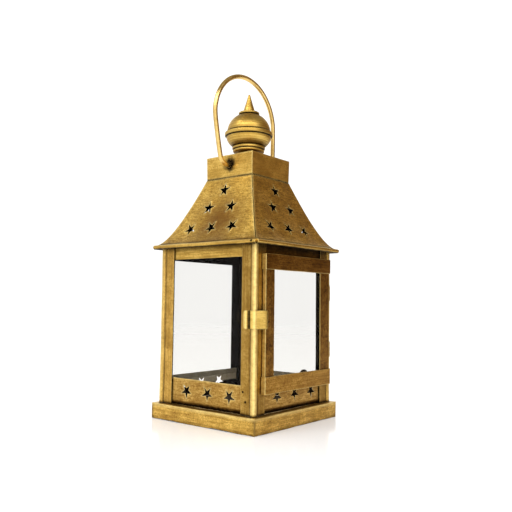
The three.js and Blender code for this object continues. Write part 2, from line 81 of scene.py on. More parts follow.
SHEET = 0.5 * MM              # drawn thickness of punched sheet
BEAD_RADIUS = 3 * MM
BEAD_CENTRE = BEAD_EDGE - BEAD_RADIUS
FLANGE_FACE = 57 * MM
FLANGE_THICKNESS = 0.9 * MM
FLANGE_EDGE = 42.2 * MM
STAR_RADIUS = 6.7 * MM
STAR_WAIST = 0.39             # inner radius of a star as a share of its outer radius
HEM_RADIUS = 2 * MM
HEM_CENTRE = EAVE_HALF - HEM_RADIUS
HEM_HEIGHT = 160.7 * MM


# ---------- Mesh helpers ----------

SHARP_ANGLE = math.radians(28)
SAME_PLACE = 1e-7             # points closer than this are one point


def settle(mesh, low, high):
    """Keeps a mesh inside a box."""
    for vert in mesh.vertices:
        vert.co = Vector(max(a, min(b, c)) for a, b, c in zip(low, high, vert.co))
    return mesh


def faces_inward(face):
    """Whether a face looks towards the lantern's own axis, or down."""
    outward = Vector((face.center.x, face.center.y, 0)).normalized()
    return face.normal.dot(outward) < -0.25 or face.normal.z < -0.9


def finish_mesh(name, mesh, material, body=BODY, stands_for=(), inner=None, is_inner=faces_inward):
    """Turns a mesh into a smooth-shaded piece that rides on a body and stands for CAD nodes.

    The faces that `is_inner` picks take the `inner` material, if there is one.
    """
    mesh.validate()
    settle(mesh, *cad_box)
    mesh.shade_smooth()
    mesh.set_sharp_from_angle(angle=SHARP_ANGLE)
    piece = bpy.data.objects.new(name, mesh)
    bpy.context.scene.collection.objects.link(piece)
    flat_faces = piece.modifiers.new("flat_faces", "WEIGHTED_NORMAL")
    flat_faces.keep_sharp = True
    flat_faces.weight = 100
    mesh.materials.clear()
    mesh.materials.append(material)
    if inner:
        mesh.materials.append(inner)
        for face in mesh.polygons:
            if is_inner(face):
                face.material_index = 1
    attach(piece, body)
    if stands_for:
        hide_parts(*stands_for)
    return piece


def mesh_from(name, points, faces):
    mesh = bpy.data.meshes.new(name)
    mesh.from_pydata([tuple(p) for p in points], [], faces)
    return mesh


def clean(mesh):
    """Merges points in the same place, drops loose ones and turns all faces outward."""
    work = bmesh.new()
    work.from_mesh(mesh)
    bmesh.ops.remove_doubles(work, verts=work.verts, dist=SAME_PLACE)
    loose = [v for v in work.verts if not v.link_faces]
    bmesh.ops.delete(work, geom=loose, context="VERTS")
    bmesh.ops.recalc_face_normals(work, faces=work.faces)
    work.to_mesh(mesh)
    work.free()
    return mesh


def wobble(point, size, reach, seed):
    """A smooth hand-made unevenness: up to `size` metres, over lengths of about `reach` metres."""
    place = Vector(point) / reach + Vector((seed * 7.31, seed * 3.17, seed * 5.71))
    return noise.noise_vector(place) * size


def arc(cx, cy, radius, start, stop, steps):
    angles = np.linspace(start, stop, steps + 1)
    return [(cx + radius * math.cos(a), cy + radius * math.sin(a)) for a in angles]


def smooth_line(points, per_span):
    """A Catmull-Rom line through the given points."""
    points = [Vector(p) for p in points]
    padded = [2 * points[0] - points[1], *points, 2 * points[-1] - points[-2]]
    line = []
    for a, b, c, d in zip(padded, padded[1:], padded[2:], padded[3:]):
        for i in range(per_span):
            t = i / per_span
            line.append(0.5 * ((2 * b) + (c - a) * t + (2 * a - 5 * b + 4 * c - d) * t * t
                               + (3 * b - a - 3 * c + d) * t ** 3))
    line.append(points[-1])
    return line


def directions(line):
    """The line's direction at each of its points."""
    return [(after - before).normalized()
            for before, after in zip([line[0], *line[:-1]], [*line[1:], line[-1]])]


def skin(name, rings, closed=False):
    """A skin over rings of points, each joined to the next. It has flat ends, or is a loop if `closed`."""
    count = len(rings[0])
    points = [spot for ring in rings for spot in ring]
    last = len(points) - count
    faces = [] if closed else [list(range(count))[::-1], list(range(last, len(points)))]
    for start in range(0, last + count * closed, count):
        for i in range(count):
            corners = [start + i, start + (i + 1) % count, start + count + (i + 1) % count, start + count + i]
            faces.append([corner % len(points) for corner in corners])
    return clean(mesh_from(name, points, faces))


def turned(name, profile, segments=96):
    """A body of revolution. Its profile of (radius, height) points runs from axis to axis, or is a loop."""
    angles = np.linspace(0, 2 * math.pi, segments, endpoint=False)
    rings = [[(r * math.cos(a), r * math.sin(a), z) for a in angles] for r, z in profile]
    return skin(name, rings, closed=profile[0][0] > 0)


def swept(name, line, radius, sides, roughness, seed):
    """A slightly rough round wire along a line of points."""
    rings = []
    ways = directions(line)
    up = ways[0].orthogonal()
    for point, along in zip(line, ways):
        up = (up - along * up.dot(along)).normalized()
        across = along.cross(up)
        rings.append([])
        for k in range(sides):
            angle = 2 * math.pi * k / sides
            out = up * math.cos(angle) + across * math.sin(angle)
            spot = point + out * radius
            rings[-1].append(spot + out * wobble(spot, roughness, 8 * MM, seed).x)
    return skin(name, rings)


def paint(mesh, name, values, add=False):
    """Stores how worn or how grimy each point is, from 0 to 1, for the brass material to read.

    values may be a list, or a function of the point. With `add`, the larger of the old and new value stays.
    """
    if callable(values):
        values = [values(vert.co) for vert in mesh.vertices]
    layer = mesh.attributes.get(name) or mesh.attributes.new(name, "FLOAT", "POINT")
    values = np.array(values, np.float32)
    if add:
        old = np.empty_like(values)
        layer.data.foreach_get("value", old)
        values = np.maximum(values, old)
    layer.data.foreach_set("value", values)
    return mesh


def near(value, target, reach):
    """1 at the target, falling smoothly to 0 over about `reach`."""
    return math.exp(-((value - target) / reach) ** 2)


def inside(polygon, spots):
    """Which of the (n, 2) spots lie inside a polygon."""
    result = np.zeros(len(spots), bool)
    x, y = spots[:, 0], spots[:, 1]
    for (x0, y0), (x1, y1) in zip(polygon, np.roll(polygon, -1, axis=0)):
        crosses = (y0 > y) != (y1 > y)
        with np.errstate(divide="ignore", invalid="ignore"):
            at = (x1 - x0) * (y - y0) / (y1 - y0) + x0
        result ^= crosses & (x < at)
    return result


def distance_to(polygon, spots):
    """Distance of each of the (n, 2) spots from a polygon's edges."""
    best = np.full(len(spots), 1e9)
    for start, stop in zip(polygon, np.roll(polygon, -1, axis=0)):
        edge = stop - start
        share = np.clip(((spots - start) @ edge) / max(edge @ edge, 1e-18), 0, 1)
        best = np.minimum(best, np.linalg.norm(spots - start - share[:, None] * edge, axis=1))
    return best


def divided(polygon, step):
    """The same closed polygon with extra points no further than `step` apart."""
    result = []
    for start, stop in zip(polygon, np.roll(polygon, -1, axis=0)):
        count = max(1, math.ceil(np.linalg.norm(stop - start) / step))
        result.extend(start + (stop - start) * i / count for i in range(count))
    return np.array(result)


def pierced_sheet(name, outline, holes, place, burr=0.0, rim_wear_and_highlight=0.6):
    """A sheet cut to a flat outline with holes, then bent: place(u, v) gives a point and its normal.

    The sheet rises round each hole by `burr`, as punched sheet does. The mesh carries a `wear_and_highlight`
    attribute that is
    `rim_wear_and_highlight` at the edges of the sheet and its holes, bright from handling and as painted
    highlights, and a `grime_and_shade` attribute that is 1 underneath, as painted shade.
    """
    spacing = 1.6 * MM
    outline = np.array(outline)
    holes = [np.array(hole) for hole in holes]
    loops = [divided(outline, spacing)] + [divided(hole, 0.7 * MM) for hole in holes]
    low, high = outline.min(axis=0), outline.max(axis=0)
    counts = np.maximum(2, np.ceil((high - low) / spacing).astype(int))
    grid = np.array([[low[0] + (high[0] - low[0]) * (i + 0.5 * (j % 2)) / counts[0],
                      low[1] + (high[1] - low[1]) * j / counts[1]]
                     for i in range(counts[0] + 1) for j in range(counts[1] + 1)])
    keep = inside(outline, grid)
    for hole in holes:
        keep &= ~inside(hole, grid)
    for loop in loops:
        keep &= distance_to(loop, grid) > 0.45 * spacing
    grid = grid[keep]
    for hole in holes:
        ring = divided(offset_ring(hole, 1 * MM), 1 * MM)
        clear = inside(outline, ring) & (distance_to(outline, ring) > 0.4 * spacing)
        grid = np.vstack([grid, ring[clear]])
    spots, edges = [], []
    for loop in loops:
        first = len(spots)
        spots.extend(loop)
        edges.extend((first + i, first + (i + 1) % len(loop)) for i in range(len(loop)))
    spots.extend(grid)
    flat, _, triangles, *_ = geometry.delaunay_2d_cdt([Vector(s) for s in spots], edges, [], 0, 1e-9)
    flat = np.array([tuple(p) for p in flat])
    centres = np.array([flat[list(t)].mean(axis=0) for t in triangles])
    kept = inside(outline, centres)
    for hole in holes:
        kept &= ~inside(hole, centres)
    triangles = [list(t) for t, k in zip(triangles, kept) if k]

    hole_distance = np.full(len(flat), 1.0)
    for hole in holes:
        hole_distance = np.minimum(hole_distance, distance_to(hole, flat))
    rim_distance = np.minimum(hole_distance, distance_to(outline, flat))
    count = len(flat)
    skins = []
    for (u, v), from_hole in zip(flat, hole_distance):
        spot, normal = place(u, v)
        rise = burr * near(from_hole, 0, 1.1 * MM)
        skins.append((spot + normal * rise, spot + normal * (rise * 0.8 - SHEET)))
    points = [outer for outer, _ in skins] + [under for _, under in skins]
    faces = list(triangles) + [[count + i for i in reversed(t)] for t in triangles]
    borders = dict.fromkeys(edge for a, b, c in triangles for edge in ((a, b), (b, c), (c, a)))
    faces += [[b, a, count + a, count + b] for a, b in borders if (b, a) not in borders]
    mesh = mesh_from(name, points, faces)
    # Painted highlights round the rims, partly from handling; painted shade over the whole underside.
    paint(mesh, "wear_and_highlight", np.concatenate([rim_wear_and_highlight * np.exp(-rim_distance / (0.5 * MM)), np.zeros(count)]))
    paint(mesh, "grime_and_shade", np.concatenate([np.zeros(count), np.ones(count)]))
    return clean(mesh)


def offset_ring(polygon, distance):
    """A polygon's points pushed away from its middle."""
    middle = polygon.mean(axis=0)
    out = polygon - middle
    length = np.linalg.norm(out, axis=1, keepdims=True)
    return middle + out * (1 + distance / length)


def star(cx, cy, turn=0.0, size=STAR_RADIUS, seed=0):
    """A hand-punched five-pointed star; turn 0 has a point up. Each tip is a little off."""
    points = []
    for i in range(10):
        radius = size * (STAR_WAIST if i % 2 else 1.0)
        radius *= 1 + 0.06 * math.sin(3.7 * i + 1.9 * seed)
        angle = math.pi / 2 + turn + i * math.pi / 5 + 0.04 * math.sin(2.3 * i + seed)
        points.append((cx + radius * math.cos(angle), cy + radius * math.sin(angle)))
    return points


def softened(name, node, bevel, cut=None, uneven=0.0, seed=1, slices=()):
    """A CAD node's shape with rounded edges, cut into short lengths and made slightly uneven by hand.

    `slices` lists further cuts, each an axis (0, 1 or 2) and a position.
    """
    work = bmesh.new()
    work.from_mesh(frame["nodes"][node].data)
    bmesh.ops.remove_doubles(work, verts=work.verts, dist=SAME_PLACE)
    bmesh.ops.dissolve_limit(work, angle_limit=math.radians(1), verts=work.verts, edges=work.edges)
    sharp = [e for e in work.edges if e.is_manifold and e.calc_face_angle() > math.radians(40)]
    bmesh.ops.bevel(work, geom=sharp, offset=bevel, segments=3, profile=0.5, affect="EDGES",
                    clamp_overlap=True)
    every_slice = []
    if cut:
        for axis, (low, high) in enumerate(zip(*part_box(node))):
            lengths = int((high - low) / cut)
            every_slice += [(axis, low + (high - low) * i / lengths) for i in range(1, lengths)]
    for axis, position in [*every_slice, *slices]:
        normal = Vector([float(k == axis) for k in range(3)])
        everything = work.verts[:] + work.edges[:] + work.faces[:]
        bmesh.ops.bisect_plane(work, geom=everything, plane_co=normal * position, plane_no=normal,
                               dist=SAME_PLACE)
    if uneven:
        for vert in work.verts:
            vert.co += wobble(vert.co, uneven, 22 * MM, seed)
    bmesh.ops.recalc_face_normals(work, faces=work.faces)
    mesh = bpy.data.meshes.new(name)
    work.to_mesh(mesh)
    work.free()
    return mesh


def plain_piece(name, node, bevel, material, body=BODY):
    """A CAD node's own shape with rounded edges, as a finished piece."""
    return finish_mesh(name, softened(name, node, bevel), material, body=body, stands_for=[node])


def turn_about_z(mesh, angle):
    mesh.transform(Matrix.Rotation(angle, 4, "Z"))
    return mesh


def joined(name, meshes):
    """One mesh made of several, which stay separate shells."""
    work = bmesh.new()
    for mesh in meshes:
        work.from_mesh(mesh)
    result = bpy.data.meshes.new(name)
    work.to_mesh(result)
    work.free()
    return result


# ---------- Materials ----------

class Nodes:
    """A node tree under construction."""

    def __init__(self, tree):
        self.tree = tree

    def add(self, kind, **settings):
        node = self.tree.nodes.new(kind)
        for key, value in settings.items():
            setattr(node, key, value)
        return node

    def link(self, source, target):
        self.tree.links.new(source, target)

    def range(self, value, low, high, to_low=0.0, to_high=1.0, curve="LINEAR"):
        node = self.add("ShaderNodeMapRange", interpolation_type=curve)
        for key, number in (("From Min", low), ("From Max", high), ("To Min", to_low), ("To Max", to_high)):
            node.inputs[key].default_value = number
        self.link(value, node.inputs["Value"])
        return node.outputs["Result"]

    def math(self, operation, first, second):
        node = self.add("ShaderNodeMath", operation=operation, use_clamp=True)
        for socket, value in zip(node.inputs, (first, second)):
            if isinstance(value, (int, float)):
                socket.default_value = value
            else:
                self.link(value, socket)
        return node.outputs["Value"]

    def mix(self, share, first, second):
        node = self.add("ShaderNodeMix", data_type="RGBA", clamp_factor=True)
        if isinstance(share, (int, float)):
            node.inputs["Factor"].default_value = share
        else:
            self.link(share, node.inputs["Factor"])
        sockets = [s for s in node.inputs if s.type == "RGBA"]
        for socket, value in zip(sockets, (first, second)):
            if isinstance(value, tuple):
                socket.default_value = value
            else:
                self.link(value, socket)
        return next(s for s in node.outputs if s.type == "RGBA")


class Shader(Nodes):
    """A material under construction, with its Principled node and its object's coordinates."""

    def __init__(self, name):
        self.material = bpy.data.materials.new(name)
        self.material.use_nodes = True
        super().__init__(self.material.node_tree)
        self.base = self.tree.nodes["Principled BSDF"]
        self.coordinates = self.add("ShaderNodeTexCoord").outputs["Object"]

    def noise(self, stretch, detail=4.0, roughness=0.6, offset=0.0):
        """A noise field; stretch gives its cells per metre along X, Y and Z."""
        place = self.add("ShaderNodeMapping")
        place.inputs["Scale"].default_value = stretch
        place.inputs["Location"].default_value = (offset, offset * 1.7, offset * 0.6)
        self.link(self.coordinates, place.inputs["Vector"])
        field = self.add("ShaderNodeTexNoise")
        field.inputs["Scale"].default_value = 1.0
        field.inputs["Detail"].default_value = detail
        field.inputs["Roughness"].default_value = roughness
        self.link(place.outputs["Vector"], field.inputs["Vector"])
        return field.outputs["Fac"]

    def ragged_distance(self, centre, radius, ragging):
        """Distance from a centre as a share of twice the radius, with a ragged outline."""
        away = self.add("ShaderNodeVectorMath", operation="DISTANCE")
        self.link(self.coordinates, away.inputs[0])
        away.inputs[1].default_value = centre
        share = self.math("DIVIDE", away.outputs["Value"], 2 * radius)
        return self.math("ADD", share, self.range(ragging, 0.3, 0.7, -0.12, 0.12))


def colour(red, green, blue):
    """An 8-bit display colour as linear light."""
    def linear(value):
        share = value / 255
        return share / 12.92 if share <= 0.04045 else ((share + 0.055) / 1.055) ** 2.4
    return (linear(red), linear(green), linear(blue), 1.0)


GOLD = colour(212, 170, 80)
WORN_AND_HIGHLIGHT = colour(246, 220, 142)
BROWN = colour(120, 78, 26)
UMBER = colour(25, 14, 4)
ROOF_GOLD = colour(222, 180, 84)
PANEL_GOLD = colour(186, 146, 72)
POST_GOLD = colour(198, 155, 72)
BOTTOM_RAIL_GOLD = colour(176, 132, 54)
SHADED_RAIL_GOLD = colour(150, 106, 36)
STILE_GOLD = colour(154, 110, 38)
STILE_BROWN = colour(88, 54, 14)
CLIP_GOLD = colour(222, 184, 92)
WIRE_GOLD = colour(206, 172, 100)
SPUN_GOLD = colour(202, 165, 80)

# Brushing: cells per metre along X, Y and Z
SIDEWAYS = (40, 40, 900)
UPRIGHT = (800, 800, 30)
WOVEN = (150, 150, 900)
ROUND_THE_LATHE = (12, 12, 1200)
EVEN = (60, 60, 60)


def brass(name, gold, brown=BROWN, roughness=0.4, stretch=(24, 24, 420), mottling=0.8, tarnish_and_shade=1.0,
          grit=1.0, brushing=0.25, clouding=0.3, bumps=0.4, offset=0.0, dark_spots=(), clouds=(), reach=9 * MM,
          edge_wear_and_highlight=0.8, metal=1.0):
    """Antique brass: brushed gold, mottled with brown, umber in the creases as tarnish and painted shade,
    bright from handling and with painted highlights on its edges.

    `stretch` is the brushing's cells per metre along X, Y and Z, and `reach` is how far the darkening in a
    crease spreads, as tarnish and painted shade; `tarnish_and_shade` scales it and the pits. Each stain or
    cloud is a centre and a radius, and a stain can be a spot of painted shade. A mesh's `wear_and_highlight`
    attribute, where it has one, brightens the brass for handling and painted highlights, and its
    `grime_and_shade` attribute darkens it for tarnish, dark joints and painted shade.
    """
    s = Shader(name)
    pale = tuple(min(1.0, c * gain + 0.02) for c, gain in zip(gold[:3], (1.28, 1.36, 1.5))) + (1.0,)
    streaks = s.noise(stretch, detail=3, roughness=0.6, offset=offset + 3)
    blotches = s.noise((60, 60, 80), detail=6, roughness=0.62, offset=offset)
    patches = s.noise((260, 260, 300), detail=4, roughness=0.65, offset=offset + 6)
    grains = s.noise((800, 800, 900), detail=3, roughness=0.7, offset=offset + 9)
    tone = s.math("ADD", s.range(blotches, 0.4, 0.66, 0, clouding), s.range(streaks, 0.42, 0.68, 0, brushing))
    tone = s.math("ADD", tone, s.range(patches, 0.45, 0.7, 0, 0.25 * grit))
    tone = s.math("ADD", tone, s.range(grains, 0.45, 0.65, 0, 0.5 * grit))
    face = s.mix(s.range(tone, 0.0, 0.35), pale, gold)
    face = s.mix(s.math("MULTIPLY", s.range(tone, 0.15, 0.95), mottling), face, brown)
    for centre, radius in clouds:
        face = s.mix(s.range(s.ragged_distance(centre, radius, blotches), 0.6, 0.1, 0, 0.88), face, brown)

    # Ambient occlusion darkens the creases towards umber: tarnish in the hollows, and painted shade where
    # shade falls.
    hollow = s.add("ShaderNodeAmbientOcclusion", samples=6)
    hollow.inputs["Distance"].default_value = reach
    crease = s.range(hollow.outputs["AO"], 0.3, 0.88, 1, 0)
    crease = s.math("MULTIPLY", crease, s.range(blotches, 0.3, 0.6, 0.8, 1))
    pits = s.math("MULTIPLY", s.range(grains, 0.58, 0.68), 0.7 * grit)
    dirt_and_shade = s.math("MULTIPLY", s.math("MAXIMUM", crease, pits), tarnish_and_shade)
    # The `grime_and_shade` attribute and the dark spots: tarnish, dark joints and painted shade.
    grime_and_shade = s.add("ShaderNodeAttribute", attribute_name="grime_and_shade").outputs["Fac"]
    for centre, radius in dark_spots:
        grime_and_shade = s.math("MAXIMUM", grime_and_shade, s.range(s.ragged_distance(centre, radius, patches), 0.52, 0.24))
    ragged_grime_and_shade = s.math("MULTIPLY", grime_and_shade, s.range(patches, 0.3, 0.6, 0.85, 1.15))
    dirt_and_shade = s.math("MAXIMUM", dirt_and_shade, ragged_grime_and_shade)
    face = s.mix(dirt_and_shade, face, UMBER)

    # Edges that round away from the face go towards the pale colour as painted highlights, partly from
    # handling.
    soft = s.add("ShaderNodeBevel", samples=4)
    soft.inputs["Radius"].default_value = 0.45 * MM
    flat = s.add("ShaderNodeNewGeometry")
    turn = s.add("ShaderNodeVectorMath", operation="DOT_PRODUCT")
    s.link(soft.outputs["Normal"], turn.inputs[0])
    s.link(flat.outputs["Normal"], turn.inputs[1])
    edge = s.math("MULTIPLY", s.range(turn.outputs["Value"], 0.995, 0.86, 0, edge_wear_and_highlight),
                  s.range(hollow.outputs["AO"], 0.25, 0.6))
    # The `wear_and_highlight` attribute: bright from handling, and painted highlights.
    worn_and_highlit = s.add("ShaderNodeAttribute", attribute_name="wear_and_highlight").outputs["Fac"]
    uneven_wear_and_highlight = s.math("MULTIPLY", worn_and_highlit, s.range(patches, 0.35, 0.65, 1.2, 0.7))
    uneven_wear_and_highlight = s.math("MULTIPLY", uneven_wear_and_highlight, s.math("SUBTRACT", 1.0, grime_and_shade))
    face = s.mix(s.math("MAXIMUM", edge, uneven_wear_and_highlight), face, WORN_AND_HIGHLIGHT)
    s.link(face, s.base.inputs["Base Color"])

    shine = s.math("ADD", s.range(streaks, 0.3, 0.7, roughness - 0.1, roughness + 0.08),
                   s.math("MULTIPLY", dirt_and_shade, 0.22))
    s.link(shine, s.base.inputs["Roughness"])
    bump = s.add("ShaderNodeBump")
    bump.inputs["Strength"].default_value = bumps
    bump.inputs["Distance"].default_value = 0.35 * MM
    brushed = s.noise(tuple(k * 2.6 for k in stretch), detail=3, roughness=0.7, offset=offset + 5)
    height = s.math("ADD", s.math("MULTIPLY", brushed, brushing), s.math("MULTIPLY", grains, 0.35 * grit))
    height = s.math("ADD", height, s.math("MULTIPLY", patches, 0.4 * grit))
    s.link(height, bump.inputs["Height"])
    s.link(soft.outputs["Normal"], bump.inputs["Normal"])
    s.link(bump.outputs["Normal"], s.base.inputs["Normal"])
    s.base.inputs["Metallic"].default_value = metal
    s.base.inputs["Specular IOR Level"].default_value = 0.2
    return s.material


def glass(name):
    """Clear window glass, a little hazy in places."""
    s = Shader(name)
    haze = s.noise((40, 40, 40), detail=3)
    s.link(s.range(haze, 0.4, 0.8, 0.0, 0.05), s.base.inputs["Roughness"])
    s.base.inputs["Base Color"].default_value = (0.87, 0.866, 0.853, 1.0)
    s.base.inputs["Transmission Weight"].default_value = 1.0
    s.base.inputs["IOR"].default_value = 1.12
    return s.material


# Stains, pits, a spot of painted shade at the hem's open end, and clouds: centres and radii
HOLE_STAINS = [((side * COLLAR_HIGH.x, -1 * MM, PIVOT_HEIGHT + 0.5 * MM), 8.5 * MM) for side in (-1, 1)]
FLANGE_PITS = [((-FLANGE_FACE, y * MM, z * MM), 1.5 * MM) for y, z in ((-44.8, 34), (-47.8, 25.7))]
# Painted shade where the left hem's rolled end opens.
HEM_END_SHADE = ((-EAVE_HALF, 4.5 * MM - HEM_CENTRE, HEM_HEIGHT + 0.5 * MM), 1.5 * MM)
ROOF_CLOUDS = [((side * 47 * MM, side * 4 * MM, 184 * MM), 32 * MM) for side in (-1, 1)]

sheet_brass = brass("antique_brass_sheet", ROOF_GOLD, stretch=WOVEN, grit=0.75, brushing=0.45, offset=1,
                    clouds=ROOF_CLOUDS)
panel_brass = brass("antique_brass_panel", PANEL_GOLD, stretch=WOVEN, grit=0.7, brushing=0.4, offset=1.2,
                    reach=5 * MM)
collar_brass = brass("antique_brass_collar", GOLD, stretch=SIDEWAYS, mottling=0.7, grit=0.4, offset=1.5,
                     dark_spots=HOLE_STAINS)
plinth_brass = brass("antique_brass_plinth", GOLD, stretch=SIDEWAYS, mottling=0.9, brushing=0.4, grit=0.7,
                     tarnish_and_shade=0.6, offset=2, reach=2.5 * MM)
post_brass = brass("antique_brass_post", POST_GOLD, stretch=UPRIGHT, mottling=0.75, grit=0.55, offset=4,
                   dark_spots=FLANGE_PITS)
rail_brass = brass("antique_brass_rail", GOLD, stretch=SIDEWAYS, mottling=0.7, brushing=0.4, grit=0.45,
                   offset=5, dark_spots=[HEM_END_SHADE])
# A darker copy of the rail brass: painted shade for the door's top rail and for the upper rails on the shaded
# sides.
shaded_rail_brass = brass("shaded_antique_brass_rail", SHADED_RAIL_GOLD, STILE_BROWN, stretch=SIDEWAYS, mottling=1.0,
                       brushing=0.4, clouding=0.5, offset=6, reach=6 * MM)
door_brass = brass("antique_brass_door", BOTTOM_RAIL_GOLD, stretch=SIDEWAYS, brushing=0.3, grit=0.7,
                   offset=6.5, reach=6 * MM)
stile_brass = brass("antique_brass_stile", STILE_GOLD, STILE_BROWN, stretch=UPRIGHT, mottling=1.0,
                    brushing=0.3, grit=1.1, offset=7, reach=6 * MM)
clip_brass = brass("polished_brass_clip", CLIP_GOLD, roughness=0.36, stretch=WOVEN, mottling=0.3, grit=0.15,
                   bumps=0.15, offset=8, reach=5 * MM)
wire_brass = brass("polished_brass_wire", WIRE_GOLD, roughness=0.34, stretch=EVEN, mottling=0.4, grit=0.0,
                   brushing=0.0, bumps=0.0, offset=9, edge_wear_and_highlight=0.0)
spun_brass = brass("spun_brass", SPUN_GOLD, stretch=ROUND_THE_LATHE, mottling=0.55, grit=0.15, brushing=0.4,
                   bumps=0.15, offset=10, edge_wear_and_highlight=0.3)
# Painted shade: a dark, dull brass for inner faces and undersides, the pane tabs inside and the nut under the
# finial.
shaded_brass = brass("shade_dark_brass", colour(40, 31, 8), colour(27, 20, 5), roughness=0.8, offset=12,
                   edge_wear_and_highlight=0.0, metal=0.0)
inside_brass = brass("dull_brass_inside", colour(205, 190, 160), colour(160, 144, 116), roughness=0.8,
                     mottling=0.5, tarnish_and_shade=0.1, offset=13, edge_wear_and_highlight=0.0, metal=0.0)
# Painted shade: a dark, dull brass for the lantern's floor inside the plinth walls and for the plinth's
# underside.
inner_floor_shade_brass = brass("shaded_brass_inner_floor", colour(62, 47, 26), colour(40, 29, 14), roughness=0.7,
                    mottling=0.7, tarnish_and_shade=0.5, offset=14, edge_wear_and_highlight=0.0, metal=0.0)
back_brass = brass("antique_brass_back", BOTTOM_RAIL_GOLD, STILE_BROWN, grit=0.5, tarnish_and_shade=0.15, offset=15)
clear_glass = glass("clear_glass")


# ---------- Plinth ----------

WALL_FOOT = 54.4 * MM
FOOT_WAVE = 1.6 * MM          # how far the plinth's foot rises off the floor in places


def square(spot):
    """Half the side of the upright square tube that a point lies on."""
    return max(abs(spot.x), abs(spot.y))


def between_walls(face):
    """Whether a face is the plinth's top inside the walls, or its underside."""
    near_top = face.center.z > PLINTH_HIGH.z - 1.5 * MM
    return face.normal.z < -0.9 or near_top and square(face.center) < WALL_FOOT


def plinth_wear_and_highlight(spot):
    """The top edge is bright all round, from handling and as a painted highlight."""
    return 0.9 * near(spot.z, PLINTH_HIGH.z, 0.7 * MM) * (square(spot) > PLINTH_HIGH.x - 1 * MM)


def plinth_darkening(spot):
    """Patina down the four mitred corners, and darker along the foot."""
    corner = min(abs(spot.x), abs(spot.y))
    seam = near(corner, PLINTH_HIGH.x, 0.5 * MM) * (0.9 if spot.z < PLINTH_HIGH.z - 1 * MM else 0)
    return max(seam, 0.7 * near(spot.z, 0, 0.8 * MM))


plinth = softened("plinth", "base_plinth", 0.7 * MM, cut=3 * MM, uneven=0.55 * MM, seed=3)
bulge = Vector((0.5 * MM, 0.5 * MM, 0))
settle(plinth, PLINTH_LOW - bulge, PLINTH_HIGH + bulge)
for vert in plinth.vertices:
    if vert.co.z < 1.5 * MM:
        vert.co.z += max(0.0, wobble(vert.co, FOOT_WAVE, 17 * MM, 5).x)
paint(plinth, "grime_and_shade", plinth_darkening)
paint(plinth, "wear_and_highlight", plinth_wear_and_highlight)
# The top inside the walls and the underside take the painted-shade brass.
finish_mesh("plinth", plinth, plinth_brass, stands_for=["base_plinth"], inner=inner_floor_shade_brass,
            is_inner=between_walls)


# ---------- Corner posts ----------

def post_outline():
    """Plan of the post in the +X, +Y corner: two flanges joined by a round bead."""
    back = FLANGE_FACE - FLANGE_THICKNESS
    outer_angle = math.asin((FLANGE_FACE - BEAD_CENTRE) / BEAD_RADIUS)
    inner_angle = math.asin((back - BEAD_CENTRE) / BEAD_RADIUS)
    outside = arc(BEAD_CENTRE, BEAD_CENTRE, BEAD_RADIUS, math.pi - outer_angle, outer_angle - math.pi / 2, 36)
    inside_arc = arc(BEAD_CENTRE, BEAD_CENTRE, BEAD_RADIUS, inner_angle - math.pi / 2,
                     -math.pi - inner_angle, 10)
    lip = 0.25 * MM
    steps = np.linspace(0, 1, 7)[1:-1]
    to_bead = [(FLANGE_EDGE + lip + (outside[0][0] - FLANGE_EDGE - lip) * t, FLANGE_FACE) for t in steps]
    from_bead = [(FLANGE_FACE, outside[-1][1] + (FLANGE_EDGE + lip - outside[-1][1]) * t) for t in steps]
    return [(FLANGE_EDGE, FLANGE_FACE - lip), (FLANGE_EDGE + lip, FLANGE_FACE), *to_bead, *outside,
            *from_bead, (FLANGE_FACE, FLANGE_EDGE + lip), (FLANGE_FACE - lip, FLANGE_EDGE),
            (back + lip, FLANGE_EDGE), (back, FLANGE_EDGE + lip), *inside_arc,
            (FLANGE_EDGE + lip, back), (FLANGE_EDGE, back + lip)]


POST_OUTLINE = [Vector(point) for point in post_outline()]


def bead_wear_and_highlight():
    """The bead is bright from handling, most of all along its ridge, which also carries a painted highlight.
    """
    ridge = Vector((BEAD_CENTRE, BEAD_CENTRE)) + Vector((1, 1)).normalized() * BEAD_RADIUS
    return [max(0.0, 1 - (point - ridge).length / (1.5 * BEAD_RADIUS)) for point in POST_OUTLINE]


def post_grime():
    """Patina in the two valleys beside the bead."""
    valley = Vector((FLANGE_FACE, BEAD_CENTRE - BEAD_RADIUS))
    return [max(near((point - spot).length, 0, 0.8 * MM) for spot in (valley, valley.yx))
            for point in POST_OUTLINE]


FLANGE_NEAR = FLANGE_FACE - 0.5 * MM    # beyond this a point is on a flange's outer face
BEAD_NEAR = 52.5 * MM                   # beyond this it is on the bead or in its valley


def front_shade(spot):
    """Painted shade on the front faces behind the door and under the eave."""
    if spot.y > -FLANGE_NEAR or abs(spot.x) > BEAD_NEAR:
        return 0
    return max(0.3, 0.92 * near(spot.z, POST_TOP, 13 * MM))


